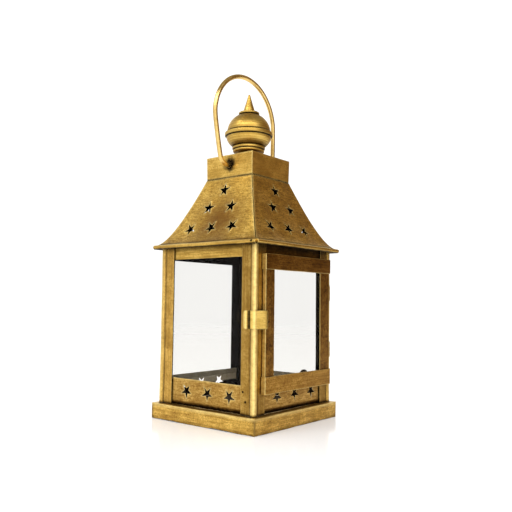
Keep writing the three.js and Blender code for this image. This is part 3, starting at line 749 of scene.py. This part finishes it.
POST_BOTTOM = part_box("corner_post_front_right")[0].z
for index, corner in enumerate(("rear_right", "rear_left", "front_left", "front_right")):
    def bowed(spot, seed=index + 11):
        return spot + Vector((1, 1, 0)) * wobble(spot, 0.18 * MM, 30 * MM, seed).x

    heights = np.linspace(POST_BOTTOM, POST_TOP, 60)
    post = skin(f"post_{corner}", [[bowed(Vector((*point, z))) for point in POST_OUTLINE] for z in heights])
    paint(post, "wear_and_highlight", bead_wear_and_highlight() * len(heights))
    # Darker at the foot, where the post meets the plinth, and painted shade under the eave at the top.
    foot_joint_and_eave_shade = [max(near(z, POST_BOTTOM, 1.2 * MM), 0.85 * near(z, POST_TOP, 4 * MM))
               for z in heights for _ in POST_OUTLINE]
    paint(post, "grime_and_shade", foot_joint_and_eave_shade)
    paint(post, "grime_and_shade", post_grime() * len(heights), add=True)
    turn_about_z(post, index * math.pi / 2)
    if corner == "front_left":
        paint(post, "grime_and_shade", lambda spot: 0.28 * (spot.x < -FLANGE_NEAR and spot.y > -BEAD_NEAR), add=True)
    paint(post, "grime_and_shade", front_shade, add=True)
    finish_mesh(f"post_{corner}", post, post_brass, stands_for=[f"corner_post_{corner}"],
                inner=shaded_brass)


# ---------- Lower star panels and upper rails ----------

PANEL_FACE = -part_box("lower_star_panel_front")[0].y
PANEL_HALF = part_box("lower_star_panel_front")[1].x
PANEL_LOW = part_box("lower_star_panel_front")[0].z
PANEL_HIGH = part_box("lower_star_panel_front")[1].z
LOWER_STAR_HEIGHT = 28 * MM
LOWER_STAR_SPACING = 26 * MM
LOWER_STAR_SHIFT = 2.6 * MM

PANEL_FOOT = PLINTH_HIGH.z + 0.3 * MM
FOOT_SET_BACK = 0.9 * MM
INNER_SHADE_TOP = 27 * MM
SHADED_SIDES = ("front", "right")


def panel_painted_shade(spot):
    """Painted shade in the groove at the panel's foot, and over the lower part of its inner face."""
    inner = spot.y >= 0.3 * MM - PANEL_FACE
    if spot.z < PANEL_LOW + 0.4 * MM or inner and spot.z < INNER_SHADE_TOP:
        return 1.0
    return near(spot.z, PANEL_LOW, 1.2 * MM)


for index, (side, turn) in enumerate(SIDES.items()):
    outline = [(-PANEL_HALF, PANEL_FOOT), (PANEL_HALF, PANEL_FOOT), (PANEL_HALF, PANEL_LOW),
               (PANEL_HALF, PANEL_HIGH), (-PANEL_HALF, PANEL_HIGH), (-PANEL_HALF, PANEL_LOW)]
    holes = [star(LOWER_STAR_SHIFT + step * LOWER_STAR_SPACING, LOWER_STAR_HEIGHT, math.pi,
                  seed=index * 3 + step) for step in (-1, 0, 1)]

    def upright(u, v, seed=index + 21):
        inward = 0.1 * MM - wobble((u, 0, v), 0.15 * MM, 16 * MM, seed).x
        inward += FOOT_SET_BACK * min(1.0, max(0.0, (PANEL_LOW - v) / (0.8 * MM)))
        return Vector((u, inward - PANEL_FACE, v)), Vector((0, -1, 0))

    # Painted highlights round the edges and star rims, weaker on the shaded sides.
    panel = pierced_sheet(f"star_panel_{side}", outline, holes, upright, burr=0.25 * MM,
                          rim_wear_and_highlight=0.2 if side in SHADED_SIDES else 0.6)
    paint(panel, "grime_and_shade", panel_painted_shade)
    turn_about_z(panel, turn)
    finish_mesh(f"star_panel_{side}", panel, panel_brass,
                stands_for=[f"lower_star_panel_{side}"], inner=inside_brass)
    rail = softened(f"rail_{side}", f"upper_rail_{side}", 0.2 * MM, cut=5 * MM, uneven=0.12 * MM, seed=index)
    # Painted shade under the eave, reaching further down on the shaded sides, whose rails also take the
    # darker shaded brass.
    shadow = 13 * MM if side in SHADED_SIDES else 2.2 * MM
    paint(rail, "grime_and_shade", lambda spot, shadow=shadow: 0.95 * near(spot.z, POST_TOP, shadow))
    rail_look = shaded_rail_brass if side in SHADED_SIDES else rail_brass
    finish_mesh(f"rail_{side}", rail, rail_look, stands_for=[f"upper_rail_{side}"],
                inner=shaded_brass)


# ---------- Panes and their tabs ----------

for side in ("right", "back", "left"):
    plain_piece(f"pane_{side}", f"glass_pane_{side}", 0.25 * MM, clear_glass)
    for end in "ab":
        plain_piece(f"tab_{side}_{end}", f"pane_tab_{side}_{end}", 0.15 * MM, shaded_brass)


# ---------- Door ----------

DOOR_BARS = [("top_rail", shaded_rail_brass), ("bottom_rail", door_brass), ("latch_stile", stile_brass),
             ("hinge_stile", stile_brass)]
BRIGHT_EDGE_REACH = 0.5 * MM          # how far the bright edge, from handling and a painted highlight, reaches in from a bar's edge
EDGE_CUT = 0.7 * MM           # a cut just beyond it, so that the bright edge stops there
rail_low, rail_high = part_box("door_bottom_rail")[1].z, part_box("door_top_rail")[0].z
for index, (part, material) in enumerate(DOOR_BARS):
    low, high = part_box(f"door_{part}")
    axis = 0 if "stile" in part else 2
    cuts = [(0, low.x + EDGE_CUT), (axis, low[axis] + EDGE_CUT), (axis, high[axis] - EDGE_CUT)]
    bar = softened(f"frame_{part}", f"door_{part}", 0.25 * MM, cut=5 * MM, uneven=0.22 * MM, seed=index + 31,
                   slices=cuts)

    # The latch side's edge carries a painted highlight; the other long edges are bright from handling, with a
    # weaker painted highlight.
    def bar_wear_and_highlight(spot, low=low, high=high, axis=axis, latch=part != "hinge_stile"):
        if latch and spot.x < low.x + BRIGHT_EDGE_REACH:
            return 0.9
        return 0.45 * (spot[axis] < low[axis] + BRIGHT_EDGE_REACH or spot[axis] > high[axis] - BRIGHT_EDGE_REACH)

    paint(bar, "wear_and_highlight", bar_wear_and_highlight)
    if "stile" in part:
        paint(bar, "grime_and_shade", lambda spot: max(near(spot.z, z, 1.2 * MM) for z in (rail_low, rail_high)))
    finish_mesh(f"frame_{part}", bar, material, body="door", stands_for=[f"door_{part}"],
                inner=back_brass, is_inner=lambda face: face.normal.y > 0.5)
plain_piece("pane_door", "door_glass", 0.25 * MM, clear_glass, body="door")
tab = softened("tab_door", "door_glass_tab", 0.12 * MM)
tab_middle = sum(corner.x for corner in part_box("door_glass_tab")) / 2
TAB_WIDENING = 1.25
TAB_LOWERING = 0.6
for vert in tab.vertices:
    vert.co.x = tab_middle + (vert.co.x - tab_middle) * TAB_WIDENING
    if vert.co.z > rail_low:
        vert.co.z = rail_low + (vert.co.z - rail_low) * TAB_LOWERING
finish_mesh("tab_door", tab, door_brass, body="door", stands_for=["door_glass_tab"])


# ---------- Spring clip ----------

CLIP_VALLEY = Vector((-58.7, -52.6, 0)) * MM
CLIP_FOOT = Vector((-44.8, -61.55, 0)) * MM
CLIP_OVER_BEAD = Vector((-58.6, -58, 0)) * MM
CLIP_TIP = -61.4 * MM
CLIP_WRAP_RADIUS = 3.9 * MM
CLIP_WRAP = (math.radians(243), math.radians(166))
CLIP_THICKNESS = 0.7 * MM
CLIP_CORNER = 2.2 * MM
CLIP_LOW, CLIP_HIGH = (corner.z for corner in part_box("latch_clip"))


def clip_line():
    """The clip's centreline in plan: foot on the stile, crest, round the corner bead, valley, thumb tip."""
    wrap = arc(-BEAD_CENTRE, -BEAD_CENTRE, CLIP_WRAP_RADIUS, *CLIP_WRAP, 8)
    return [tuple(CLIP_FOOT.xy), (-47.4 * MM, -61.65 * MM), (-48.7 * MM, -62.35 * MM), (-49.6 * MM, -63 * MM),
            *wrap, tuple(CLIP_VALLEY.xy), (-59.6 * MM, -51.7 * MM), (-61 * MM, -51 * MM),
            (CLIP_TIP, -50 * MM), (-61.3 * MM, -48.6 * MM)]


def from_line(spot, upright):
    """Distance of a point from an upright line, given by a point on it."""
    return (spot.xy - upright.xy).length


def clip_painted_shade(spot):
    """Painted shade in the valley beside the bead, at the foot's end and along the top and bottom edges."""
    beside_bead = spot.y > CLIP_VALLEY.y - 2 * MM and spot.x > CLIP_TIP + 0.6 * MM
    valley = near(from_line(spot, CLIP_VALLEY), 0.4 * MM, 1.6 * MM) * beside_bead
    foot = 0.8 * near(spot.x, CLIP_FOOT.x, 1.6 * MM)
    rim = 0.5 * max(near(spot.z, CLIP_LOW, 0.5 * MM), near(spot.z, CLIP_HIGH, 0.5 * MM))
    return max(valley, foot, rim)


def clip_painted_highlight(spot):
    """Painted highlights on the thumb tip and on the part over the bead."""
    tip = near(spot.x, CLIP_TIP, 0.5 * MM)
    return 0.8 * max(tip, near(from_line(spot, CLIP_OVER_BEAD), 0, 1.6 * MM))


def clip():
    """A bent strip with rounded ends."""
    line = smooth_line([(x, y, 0) for x, y in clip_line()], 6)
    lengths = np.cumsum([0] + [(b - a).length for a, b in zip(line, line[1:])])
    rings = []
    for spot, along, length in zip(line, directions(line), lengths):
        out = Vector((-along.y, along.x, 0))
        from_end = min(length, lengths[-1] - length)
        trim = CLIP_CORNER - math.sqrt(max(0.0, CLIP_CORNER ** 2 - max(0.0, CLIP_CORNER - from_end) ** 2))
        heights = np.linspace(CLIP_LOW + trim, CLIP_HIGH - trim, 25)
        rings.append([])
        for face, rows in ((1, heights), (-1, heights[::-1])):
            for z in rows:
                place = Vector((spot.x, spot.y, z))
                push = wobble(place, 0.12 * MM, 6 * MM, 5).x - face * CLIP_THICKNESS / 2
                rings[-1].append(place + out * push)
    return skin("clip", rings)


clip_mesh = paint(paint(clip(), "grime_and_shade", clip_painted_shade), "wear_and_highlight", clip_painted_highlight)
finish_mesh("clip", clip_mesh, clip_brass, body="latch", stands_for=["latch_clip"])


# ---------- Hinges ----------

for level in ("lower", "upper"):
    plain_piece(f"post_leaf_{level}", f"hinge_post_leaf_{level}", 0.12 * MM, post_brass)
    plain_piece(f"door_leaf_{level}", f"hinge_door_leaf_{level}", 0.12 * MM, door_brass,
                body="door")
    plain_piece(f"pin_{level}", f"hinge_pin_{level}", 0.08 * MM, wire_brass)


# ---------- Roof ----------

ROOF_TOP = (COLLAR_LOW.x * -1, 226.8 * MM)
ROOF_PULL = (52.6 * MM, 163.8 * MM)
ROOF_EAVE = (62.6 * MM, 162.6 * MM)
ROOF_GAP = 0.65 * MM
# Height of each row of stars, their places along it, and how far they turn
ROOF_STAR_ROWS = [(214.2 * MM, [-0.5 * MM], 0), (197 * MM, [-13 * MM, 14.3 * MM], 0),
                  (177.2 * MM, [-28.2 * MM, -1.7 * MM, 24 * MM], math.pi)]
ROOF_STAR_SIZE = {"front": 7 * MM, "left": 7 * MM, "back": 5.9 * MM, "right": 5.9 * MM}


def roof_curve(t):
    """A point of the roof's swept line (distance from the middle, height) and its direction there."""
    top, pull, eave = (np.array(p) for p in (ROOF_TOP, ROOF_PULL, ROOF_EAVE))
    point = top * (1 - t) ** 2 + pull * (2 * t * (1 - t)) + eave * t ** 2
    tangent = (pull - top) * (1 - t) + (eave - pull) * t
    return point, tangent / np.linalg.norm(tangent)


ROOF_SHARES = np.linspace(0, 1, 201)
ROOF_POINTS = np.array([roof_curve(t)[0] for t in ROOF_SHARES])
ROOF_LENGTHS = np.concatenate([[0], np.cumsum(np.linalg.norm(np.diff(ROOF_POINTS, axis=0), axis=1))])


def roof_sheet(side, seed):
    def place(u, v):
        share = float(np.interp(v, ROOF_LENGTHS, ROOF_SHARES))
        (distance, height), (run, fall) = roof_curve(share)
        normal = Vector((0, fall, run))
        spot = Vector((u, -distance, height))
        off_hip = min(1.0, max(0.0, (distance - abs(u)) / (6 * MM)))
        return spot + normal * (wobble(spot, 0.7 * MM, 18 * MM, seed).x * off_hip), normal

    down = np.linspace(0, ROOF_LENGTHS[-1], 24)
    halves = np.interp(down, ROOF_LENGTHS, ROOF_POINTS[:, 0]) - ROOF_GAP
    outline = [(-h, v) for h, v in zip(halves, down)] + [(h, v) for h, v in zip(halves[::-1], down[::-1])]
    holes = []
    for height, places, turn in ROOF_STAR_ROWS:
        v = float(np.interp(-height, -ROOF_POINTS[:, 1], ROOF_LENGTHS))
        holes += [star(spot, v, turn + math.pi, size=ROOF_STAR_SIZE[side], seed=seed + spot / MM)
                  for spot in places]
    sheet = pierced_sheet(f"roof_{side}", outline[::-1], holes, place, burr=0.3 * MM)
    paint(sheet, "grime_and_shade", roof_grime, add=True)
    # A painted highlight along each hip.
    paint(sheet, "wear_and_highlight", lambda spot: 0.8 * near(abs(spot.x), -spot.y, 1.6 * MM), add=True)
    return sheet


def roof_grime(spot):
    """Patina where the roof meets the collar and the hem."""
    return max(0.9 * near(spot.z, ROOF_TOP[1], 0.8 * MM), 0.8 * near(spot.z, HEM_HEIGHT + 2.4 * MM, 1.2 * MM))


def hem(side):
    """The eave's edge, rolled round a wire: a round bar, its ends a little open."""
    reach = HEM_CENTRE - 0.3 * MM
    along = np.linspace(-reach, reach, 90)
    waves = [wobble((x, 0, 0), 0.25 * MM, 20 * MM, 41).x for x in along]
    line = [Vector((x, wave - HEM_CENTRE, HEM_HEIGHT + wave)) for x, wave in zip(along, waves)]
    bar = swept(f"hem_{side}", line, HEM_RADIUS, sides=20, roughness=0.12 * MM, seed=3)
    # A painted highlight along the top and painted shade along the underside.
    paint(bar, "wear_and_highlight", lambda spot: 0.8 * near(spot.z, HEM_HEIGHT + HEM_RADIUS, 0.9 * MM))
    paint(bar, "grime_and_shade", lambda spot: near(spot.z, HEM_HEIGHT - HEM_RADIUS, 1.1 * MM))
    return bar


for index, (side, turn) in enumerate(SIDES.items()):
    sheet = turn_about_z(roof_sheet(side, index + 51), turn)
    finish_mesh(f"roof_{side}", sheet, sheet_brass, stands_for=[f"roof_panel_{side}"],
                inner=shaded_brass)
    bar = turn_about_z(hem(side), turn)
    finish_mesh(f"hem_{side}", bar, rail_brass)


# ---------- Collar and cap plate ----------

BAIL_HOLE_RADIUS = 2.75 * MM
COLLAR_TOP_HALF = COLLAR_HIGH.x
COLLAR_BOTTOM_HALF = 28.4 * MM


def collar_side(side, seed):
    """One side of the collar, which narrows a little towards its top. The bail's sides have a hole."""
    height = COLLAR_HIGH.z - COLLAR_LOW.z

    def place(u, v):
        half = COLLAR_BOTTOM_HALF + (COLLAR_TOP_HALF - COLLAR_BOTTOM_HALF) * v / height
        share = u / COLLAR_TOP_HALF
        spot = Vector((share * half, -half, COLLAR_LOW.z + v))
        push = wobble(spot, 0.35 * MM, 12 * MM, seed).x * (1 - abs(share) ** 6)
        return spot + Vector((0, -push, 0)), Vector((0, -1, 0))

    edge = COLLAR_TOP_HALF * (1 - 0.15 * MM / COLLAR_BOTTOM_HALF)
    outline = [(-edge, 0), (edge, 0), (edge, height), (-edge, height)]
    hole = arc(0, PIVOT_HEIGHT - COLLAR_LOW.z, BAIL_HOLE_RADIUS, 0, 2 * math.pi, 24)[:-1]
    return pierced_sheet(f"collar_{side}", outline, [hole] if side in ("left", "right") else [], place)


collar = joined("collar_shell", [turn_about_z(collar_side(side, i + 61), turn)
                                 for i, (side, turn) in enumerate(SIDES.items())])
paint(collar, "grime_and_shade", lambda spot: near(spot.z, COLLAR_LOW.z, 0.7 * MM))
finish_mesh("collar_shell", collar, collar_brass, stands_for=["collar"], inner=shaded_brass)
plate = softened("cap_plate", "collar_cap_plate", 0.2 * MM, cut=6 * MM, uneven=0.15 * MM, seed=8)
finish_mesh("cap_plate", plate, sheet_brass, stands_for=["collar_cap_plate"])


# ---------- Finial ----------

def rounded(points, per_span=5):
    """A profile smoothed through its points, with repeated points kept as sharp corners."""
    runs, run = [], [points[0]]
    for before, point in zip(points, points[1:]):
        if before == point:
            runs.append(run)
            run = [point]
        else:
            run.append(point)
    runs.append(run)
    line = []
    for run in runs:
        if len(run) < 3:
            line.extend(run)
            continue
        line.extend((p.x, p.y) for p in smooth_line([(r, z, 0) for r, z in run], per_span))
    return [p for i, p in enumerate(line) if i == 0 or math.dist(p, line[i - 1]) > SAME_PLACE]


def spun(name, outside, inside, grime_and_shade):
    """A turned piece of the finial: a smooth outside line, closed by the plain inside line, in millimetres.

    `grime_and_shade` lists heights where the brass darkens, each with its reach and its depth from 0 to 1:
    tarnish in grooves and joints, painted shade under the base cup and the lower bowl, and a painted dark
    reflection on the dome's top.
    """
    profile = [(r * MM, z * MM) for r, z in inside] + rounded([(r * MM, z * MM) for r, z in outside])
    mesh = turned(name, profile)
    for vert in mesh.vertices:
        out = Vector((vert.co.x, vert.co.y, 0))
        if out.length > 4 * MM:
            vert.co += out.normalized() * wobble(vert.co, 0.04 * MM, 12 * MM, 71).x
    paint(mesh, "grime_and_shade", lambda spot: max(depth * near(spot.z, z * MM, reach * MM)
                                          for z, reach, depth in grime_and_shade))
    finish_mesh(name, mesh, spun_brass, stands_for=[f"finial_{name}"])


BORE = 2.4                    # half the width of the hole for the rod, in millimetres
# Painted shade on the base cup's foot, under its rim.
spun("base_cup",
     [(9.6, 248.8), (9.1, 249.4), (8.8, 251.5), (8.9, 253.6), (9.6, 255.1), (11.4, 255.8), (13.8, 256.1),
      (15.0, 256.5), (15.5, 257.4), (15.3, 258.3), (14.9, 258.75), (14.9, 258.75), (15.7, 259.1),
      (16.2, 260.1), (16.1, 261.1), (15.5, 261.75), (14.6, 262)],
     [(BORE, 262), (BORE, 248.8)], grime_and_shade=[(249, 3.2, 1), (258.8, 0.7, 0.9), (262, 0.5, 1)])
# Painted shade towards the bowl's underside.
spun("lower_bowl",
     [(15.4, 262.3), (16.7, 262.8), (17.8, 263.6), (19.8, 265.8), (21.4, 268.6), (22.2, 271.3)],
     [(21.3, 271.3), (20.5, 268.9), (19, 266.4), (17.2, 264.4), (15.1, 263.2), (BORE, 263.2), (BORE, 262.3)],
     grime_and_shade=[(262.3, 3.2, 0.6), (271.3, 0.5, 1)])
spun("band",
     [(22.4, 271.6), (22.9, 271.75), (23.5, 272.4), (23.7, 273.8), (23.5, 275.2), (22.9, 275.85),
      (22.4, 276)],
     [(20.4, 276), (20.4, 271.6)], grime_and_shade=[(271.6, 0.7, 1), (276, 0.5, 1)])
spun("neck_washer",
     [(8.4, 294.1), (9.6, 294.25), (10.2, 294.7), (10.2, 295.7), (9.7, 296.2), (8.6, 296.5), (6.6, 296.6)],
     [(BORE, 296.6), (BORE, 294.1)], grime_and_shade=[(294, 0.5, 1), (296.6, 0.35, 0.9)])
spun("spike",
     [(5.5, 296.9), (5.8, 297.1), (5.6, 297.9), (4.7, 301.2), (3.2, 306), (1.9, 310.6), (1.0, 313.8),
      (0.5, 314.5), (0, 314.6)],
     [(0, 301.3), (BORE, 300.8), (BORE, 296.9)], grime_and_shade=[(296.9, 0.6, 0.8)])

DOME_FOOT = 276.3
DOME_RADIUS = 21.3
DOME_RISE = 19.3
DOME_SHOULDER = 8.8
DOME_WALL = 0.9


def dome_line(inset, steps):
    """The dome's profile from its foot up to its shoulder, in millimetres."""
    return [(x * (DOME_RADIUS - inset), DOME_FOOT + y * (DOME_RISE - inset))
            for x, y in arc(0, 0, 1, 0, math.acos(DOME_SHOULDER / DOME_RADIUS), steps)]


shell = dome_line(0, 30)
shoulder = shell[-1][1]
# The dome's top is darkened as a painted dark reflection.
spun("upper_dome", shell, [(BORE, shoulder), (BORE, shoulder - DOME_WALL), *dome_line(DOME_WALL, 12)[::-1]],
     grime_and_shade=[(DOME_FOOT, 1.0, 1), (shoulder, 4.5, 0.55)])

plain_piece("centre_rod", "finial_rod", 0.15 * MM, spun_brass)
plain_piece("centre_nut", "finial_nut", 0.15 * MM, shaded_brass)


# ---------- Bail ----------

BAIL_RADIUS = 2.25 * MM
BOW_CENTRE = (-5, 286)        # of the bail's round top, in millimetres
BOW_RADIUS = 43.8


def bail_line():
    """The bail's centreline: in through the left hole, up, round the top and in through the right hole."""
    foot = PIVOT_HEIGHT / MM
    top = arc(*BOW_CENTRE, BOW_RADIUS, math.pi, 0, 12)
    left = [(-24.4, foot), (-30.4, foot), (-35.5, foot + 0.9), (-39.3, foot + 4), (-41.4, foot + 9),
            (-45.6, foot + 28)]
    right = [(38.4, foot + 13), (37.3, foot + 7), (34.6, foot + 2.2), (30.4, foot), (24.4, foot)]
    return smooth_line([(x * MM, 0, z * MM) for x, z in left + top + right], 10)


bail = swept("bail", bail_line(), BAIL_RADIUS, sides=24, roughness=0.06 * MM, seed=81)
finish_mesh("bail", bail, wire_brass, body="bail", stands_for=["bail_handle"])


# ---------- Camera, light and floor ----------

CAMERA_PLACE = Vector((-463.31, -389.41, 110.32)) * MM
CAMERA_YAW = math.radians(39.237)
CAMERA_PITCH = math.radians(4.169)
CAMERA_ROLL = math.radians(0.696)
CAMERA_LENS = 43.85

camera = bpy.data.objects.new("camera", bpy.data.cameras.new("camera"))
camera.data.lens = CAMERA_LENS
camera.data.sensor_width = 36
camera.data.clip_start = 0.01
turns = [(CAMERA_YAW - math.pi / 2, "Z"), (CAMERA_PITCH + math.pi / 2, "X"), (CAMERA_ROLL, "Z")]
camera.matrix_world = Matrix.Translation(CAMERA_PLACE)
for angle, axis in turns:
    camera.matrix_world = camera.matrix_world @ Matrix.Rotation(angle, 4, axis)
bpy.context.scene.collection.objects.link(camera)
bpy.context.scene.camera = camera


BEHIND_CAMERA = Vector((-math.cos(CAMERA_YAW), -math.sin(CAMERA_YAW), 0.1)).normalized()
DIM_SIDE = Vector((math.cos(CAMERA_YAW), -math.sin(CAMERA_YAW), 0.15)).normalized()
DIM_LIGHT = (0.23, 0.14, 0.065, 1)
OVERHEAD_LIGHT = (0.28, 0.24, 0.17, 1)
FRONT_LIGHT = (1.5, 1.45, 1.35, 1)
ROOM_LIGHT = (1.22, 1.2, 1.18, 1)


def grey(level):
    return (level, level, level, 1)


def studio():
    """A white room. What metal mirrors is dimmer overhead and on one side, and brighter in front and behind.

    The numbers after each direction are cosines of the angles from it where the change starts and ends.
    """
    world = bpy.data.worlds.new("studio")
    world.use_nodes = True
    s = Nodes(world.node_tree)
    look = s.add("ShaderNodeTexCoord").outputs["Generated"]
    rays = s.add("ShaderNodeLightPath").outputs

    def facing(direction, low, high):
        turn = s.add("ShaderNodeVectorMath", operation="DOT_PRODUCT")
        turn.inputs[1].default_value = direction
        s.link(look, turn.inputs[0])
        return s.range(turn.outputs["Value"], low, high, curve="SMOOTHSTEP")

    mirrored = s.mix(facing(DIM_SIDE, 0.3, 0.85), grey(0.92), DIM_LIGHT)
    mirrored = s.mix(facing((0, 0, 1), 0.56, 0.88), mirrored, OVERHEAD_LIGHT)
    mirrored = s.mix(facing(BEHIND_CAMERA, 0.6, 0.98), mirrored, FRONT_LIGHT)
    mirrored = s.mix(facing(-BEHIND_CAMERA, 0.85, 0.97), mirrored, grey(1.18))
    seen = s.mix(rays["Is Glossy Ray"], grey(1.2), mirrored)
    seen = s.mix(rays["Is Transmission Ray"], seen, grey(1.2))
    seen = s.mix(rays["Is Diffuse Ray"], seen, ROOM_LIGHT)
    s.link(seen, s.tree.nodes["Background"].inputs["Color"])
    bpy.context.scene.world = world


studio()


def lamp(name, direction, width, height, power, distance=1.4):
    data = bpy.data.lights.new(name, "AREA")
    data.shape = "RECTANGLE"
    data.size = width
    data.size_y = height
    data.energy = power
    holder = bpy.data.objects.new(name, data)
    centre = Vector((0, 0, 0.2))
    holder.location = centre + Vector(direction).normalized() * distance
    holder.rotation_euler = (centre - holder.location).to_track_quat("-Z", "Y").to_euler()
    bpy.context.scene.collection.objects.link(holder)


lamp("softbox_left", (-0.62, 0.22, 0.74), 0.35, 0.35, 3)
lamp("softbox_above", (-0.53, -0.44, 0.7), 2.4, 0.3, 8)

FLOOR_REACH = 2.6
FLOOR_FADES = (1.0, 2.5)      # distances between which the floor fades out into the white room
floor_corners = [(x * FLOOR_REACH, y * FLOOR_REACH, 0) for x, y in ((-1, -1), (1, -1), (1, 1), (-1, 1))]
floor_mesh = mesh_from("floor", floor_corners, [[0, 1, 2, 3]])
floor = bpy.data.objects.new("floor", floor_mesh)
bpy.context.scene.collection.objects.link(floor)
white = Shader("white_floor")
white.base.inputs["Base Color"].default_value = (0.93, 0.93, 0.925, 1)
white.base.inputs["Roughness"].default_value = 0.14
white.base.inputs["Specular IOR Level"].default_value = 0.3
white.base.inputs["Emission Color"].default_value = (1, 1, 1, 1)
white.base.inputs["Emission Strength"].default_value = 0.04
away = white.add("ShaderNodeVectorMath", operation="LENGTH")
white.link(white.coordinates, away.inputs[0])
fading = white.add("ShaderNodeMixShader")
white.link(white.range(away.outputs["Value"], *FLOOR_FADES), fading.inputs["Fac"])
white.link(white.base.outputs["BSDF"], fading.inputs[1])
white.link(white.add("ShaderNodeBsdfTransparent").outputs["BSDF"], fading.inputs[2])
white.link(fading.outputs["Shader"], white.tree.nodes["Material Output"].inputs["Surface"])
floor_mesh.materials.append(white.material)

bpy.context.scene.view_settings.view_transform = "Standard"
